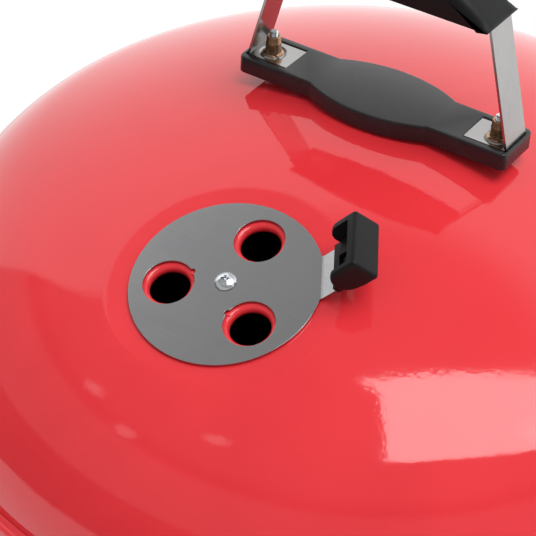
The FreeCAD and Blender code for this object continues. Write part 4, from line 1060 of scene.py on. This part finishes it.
# %% Weld the grates and the shelf
SIDES = (("left", -1), ("right", 1))
COOKING, HINGE, PITCH, GRATE_REACH = 689.8, 165.0, 15.0, 263.0
RING_DROP, RING_WIRE, ROD_WIRE, CROSS_WIRE, EYE_WIRE = 0.4, 2.9, 3.0, 2.2, 1.5
CROSS_PLACE, FLAP_CROSS = 100, 52.0
COAL_LEVEL, COAL_REACH, COAL_PITCH, COAL_WIRE, COAL_CROSS = 578.8, 205.0, 22.0, 3.2, 80.0
grate = bmesh.new()
for side in (-1, 1):
    start = math.degrees(math.acos((HINGE + 1.5) / GRATE_REACH))
    edge = arc(0, 0, GRATE_REACH, start, 180 - start, 64)
    bent_rod(grate, [(x, side * y, COOKING - RING_DROP) for x, y in edge], RING_WIRE)
    y, z = side * CROSS_PLACE, COOKING - 4.2
    rod(grate, (4 - HINGE, y, z), (HINGE - 4, y, z), CROSS_WIRE)
    hoop = [(-45, COOKING), (-45, COOKING + 28), (45, COOKING + 28), (45, COOKING)]
    bent_rod(grate, [(x, side * 262.2, z) for x, z in rounded_path(hoop, 12, 8)], CROSS_WIRE)
for k in range(-11, 12):
    y = half_chord(GRATE_REACH, k * PITCH)
    rod(grate, (k * PITCH, -y, COOKING), (k * PITCH, y, COOKING), ROD_WIRE)
make_piece("cooking_rods", grate, "food_grate", [plated_wire], ["cooking_grate"])

for name, side in SIDES:
    flap = bmesh.new()
    start = math.degrees(math.acos((HINGE + 9.0) / GRATE_REACH))
    edge = arc(0, 0, GRATE_REACH, -start, start, 36)
    bent_rod(flap, [(side * x, y, COOKING - RING_DROP) for x, y in edge], RING_WIRE)
    for k in range(1, 7):
        x = HINGE + k * PITCH
        y = half_chord(GRATE_REACH, x)
        rod(flap, (side * x, -y, COOKING), (side * x, y, COOKING), ROD_WIRE)
    for y in (-FLAP_CROSS, FLAP_CROSS):
        far = half_chord(GRATE_REACH - 1, y)
        rod(flap, (side * (HINGE + 5.6), y, COOKING - 4.0), (side * far, y, COOKING - 4.0), CROSS_WIRE)
        lathe(flap, circle(4.9, 0, EYE_WIRE, 12), 28,
              at(side * HINGE, y, COOKING) @ turn(90, "X"), closed=True)
    make_piece("folding_rods_" + name, flap, "flap_" + name[0], [plated_wire],
               ["grate_flap_" + name])

coal = bmesh.new()
lathe(coal, circle(COAL_REACH, COAL_LEVEL - RING_DROP, RING_WIRE, 12), 128, closed=True)
for k in range(-9, 10):
    x = k * COAL_PITCH
    y = half_chord(COAL_REACH, x)
    rod(coal, (x, -y, COAL_LEVEL), (x, y, COAL_LEVEL), COAL_WIRE)
for y in (-COAL_CROSS, COAL_CROSS):
    x = half_chord(200, y)
    rod(coal, (-x, y, 574.4), (x, y, 574.4), 2.4)
make_piece("charcoal_rods", coal, "fuel_grate", [raw_steel], ["charcoal_grate"])

SHELF_LEVEL, SHELF_REACH, SHELF_PITCH = 200.0, 219.0, 26.0
corners = [turn(angle, "Z") @ Vector((SHELF_REACH, 0, SHELF_LEVEL)) for angle in (-90.0, 30.0, 150.0)]
shelf = bmesh.new()
for a, b in zip(corners, corners[1:] + corners[:1]):
    rod(shelf, a.lerp(b, 0.004), b.lerp(a, 0.004), 3.0)
back = SHELF_REACH / 2
slope = (SHELF_REACH + back) / (SHELF_REACH * math.cos(math.radians(30.0)))
for k in range(-7, 8):
    x = k * SHELF_PITCH
    rod(shelf, (x, abs(x) * slope - SHELF_REACH + 1, SHELF_LEVEL + 0.8), (x, back, SHELF_LEVEL + 0.8), 2.0)
make_piece("shelf_rods", shelf, "kettle", [plated_wire], ["wire_shelf"])

# %% [markdown]
# ## Handles of the bowl
# Each side of the bowl has a bent zinc rod with a ribbed moulded sleeve where the hand holds it.

# %% Bend the bowl's handles
HANDLE_LEVEL, HANDLE_OUT, HANDLE_SPAN, SLEEVE = 682.0, 336.0, 72.0, 50.0
ribs = [(12.3 + 0.7 * math.cos(2 * math.pi * k / 6), -42.0 + k) for k in range(85)]
sleeve = [(4.0, -SLEEVE), (8.6, -SLEEVE), (11.2, -49.0), (12.6, -47.0), (13.0, -44.5)] + ribs
sleeve += [(13.0, 44.5), (12.6, 47.0), (11.2, 49.0), (8.6, SLEEVE), (4.0, SLEEVE)]
for name, side in SIDES:
    bow = bmesh.new()
    line = [(266, -HANDLE_SPAN), (HANDLE_OUT, -HANDLE_SPAN), (HANDLE_OUT, HANDLE_SPAN), (266, HANDLE_SPAN)]
    bent_rod(bow, [(side * x, y, HANDLE_LEVEL) for x, y in rounded_path(line, 18, 12)], 4.0, 20)
    make_piece("bowl_bow_" + name, bow, "kettle", [zinc], ["bowl_handle_" + name])
    hold = bmesh.new()
    lathe(hold, sleeve, 56, at(side * HANDLE_OUT, 0, HANDLE_LEVEL) @ turn(90, "X"), closed=True)
    make_piece("bowl_sleeve_" + name, hold, "kettle", [grip_plastic], ["bowl_grip_" + name])

# %% [markdown]
# ## Wheels
# A dished moulded wheel with six round windows, and a soft tyre with two grooves round it and
# lugs on its shoulders. The lugs are pressed into the spun tyre by lowering every other stretch.

# %% Turn the wheels and tyres
AXLE_Y, AXLE_LEVEL, WHEEL_MIDDLE = 126.46, 76.0, 259.0
WINDOW_COUNT, WINDOW_CIRCLE, WINDOW_RADIUS = 6, 37, 10
LUG_COUNT, LUG_DEPTH = 36, 1.3
half_wheel = [(5.1, 19.0), (13.6, 19.0), (15.0, 17.6), (15.4, 5.0), (17.4, 3.0), (54.6, 3.0), (57.2, 5.4),
              (58.0, 16.4), (58.8, 17.0), (63.3, 17.0), (64.0, 16.4)]
half_tyre = [(64.1, 17.4), (66.0, 18.0), (70.5, 18.0), (74.0, 16.4), (75.8, 13.6), (76.0, 12.0), (76.0, 7.4),
             (74.8, 7.0), (74.8, 5.6), (76.0, 5.2)]
for name, side in SIDES:
    body = "wheel_" + name[0]
    place = at(side * WHEEL_MIDDLE, AXLE_Y, AXLE_LEVEL) @ turn(90, "Y")
    wheel = bmesh.new()
    lathe(wheel, half_wheel + [(r, -z) for r, z in reversed(half_wheel)], 96, place, closed=True)
    piece = make_piece("wheel_disc_" + name, wheel, body, [wheel_plastic],
                       ["wheel_" + name])
    punch = bmesh.new()
    hole = [(0, -12), (13, -12), (WINDOW_RADIUS, -3.2), (WINDOW_RADIUS, 3.2), (13, 12), (0, 12)]
    for k in range(WINDOW_COUNT):
        lathe(punch, hole, 40, place @ turn(60 * k, "Z") @ at(WINDOW_CIRCLE))
    carve(piece, punch)
    tyre = bmesh.new()
    lathe(tyre, half_tyre + [(r, -z) for r, z in reversed(half_tyre)], 288, closed=True)
    for vert in tyre.verts:
        reach, around = vert.co.xy.length, math.atan2(vert.co.y, vert.co.x)
        if reach > 75.5 and abs(vert.co.z) > 7.2 and math.sin(LUG_COUNT * around + 0.3) < -0.2:
            vert.co.xy *= (reach - LUG_DEPTH) / reach
    move(tyre, place)
    make_piece("tyre_tread_" + name, tyre, body, [tyre_rubber], ["tyre_" + name])

# %% [markdown]
# ## The ash pan
# A spun aluminium dish with a stamped ring in its floor hangs by its rim on three clips.

# %% Spin the ash pan
PAN = [(0.0, 413.2), (58.0, 413.2), (62.0, 414.8), (98.0, 414.8), (102.0, 413.2), (142.0, 413.2),
       (145.4, 414.6), (163.0, 438.4), (165.0, 439.9), (175.4, 440.0), (176.0, 439.6)]
pan = bmesh.new()
lathe(pan, PAN, 160)
face_towards(pan, (0, 0, 1))
pan_piece = make_piece("ash_dish", pan, "pan", [pan_aluminium], ["ash_pan"], sharp=50.0)
thicken(pan_piece, 1.2, bevel=0.25)

# %% [markdown]
# ## Finishes for the parts that keep their CAD shape
# The rest of the grill is already shaped by its CAD nodes. Each gets the finish of its slot.

# %% Dress the remaining nodes
DRESS = {
    "red_enamel": red_enamel, "leg_aluminium": aluminium, "dark_steel": dark_steel, "zinc": zinc,
    "black_plastic": grip_plastic, "wheel_plastic": wheel_plastic, "tyre_rubber": tyre_rubber,
    "plated_wire": plated_wire, "raw_steel": raw_steel, "stainless": strap_steel, "bronze_zinc": bronze_zinc,
}
slot_of = {part["node"]: part["material_slot"] for part in frame["record"]["subparts"]}
for name, node in frame["nodes"].items():
    slot = slot_of.get(name)
    if slot in DRESS:
        node.data.materials.clear()
        node.data.materials.append(DRESS[slot])
print("dressed", len(slot_of), "nodes")
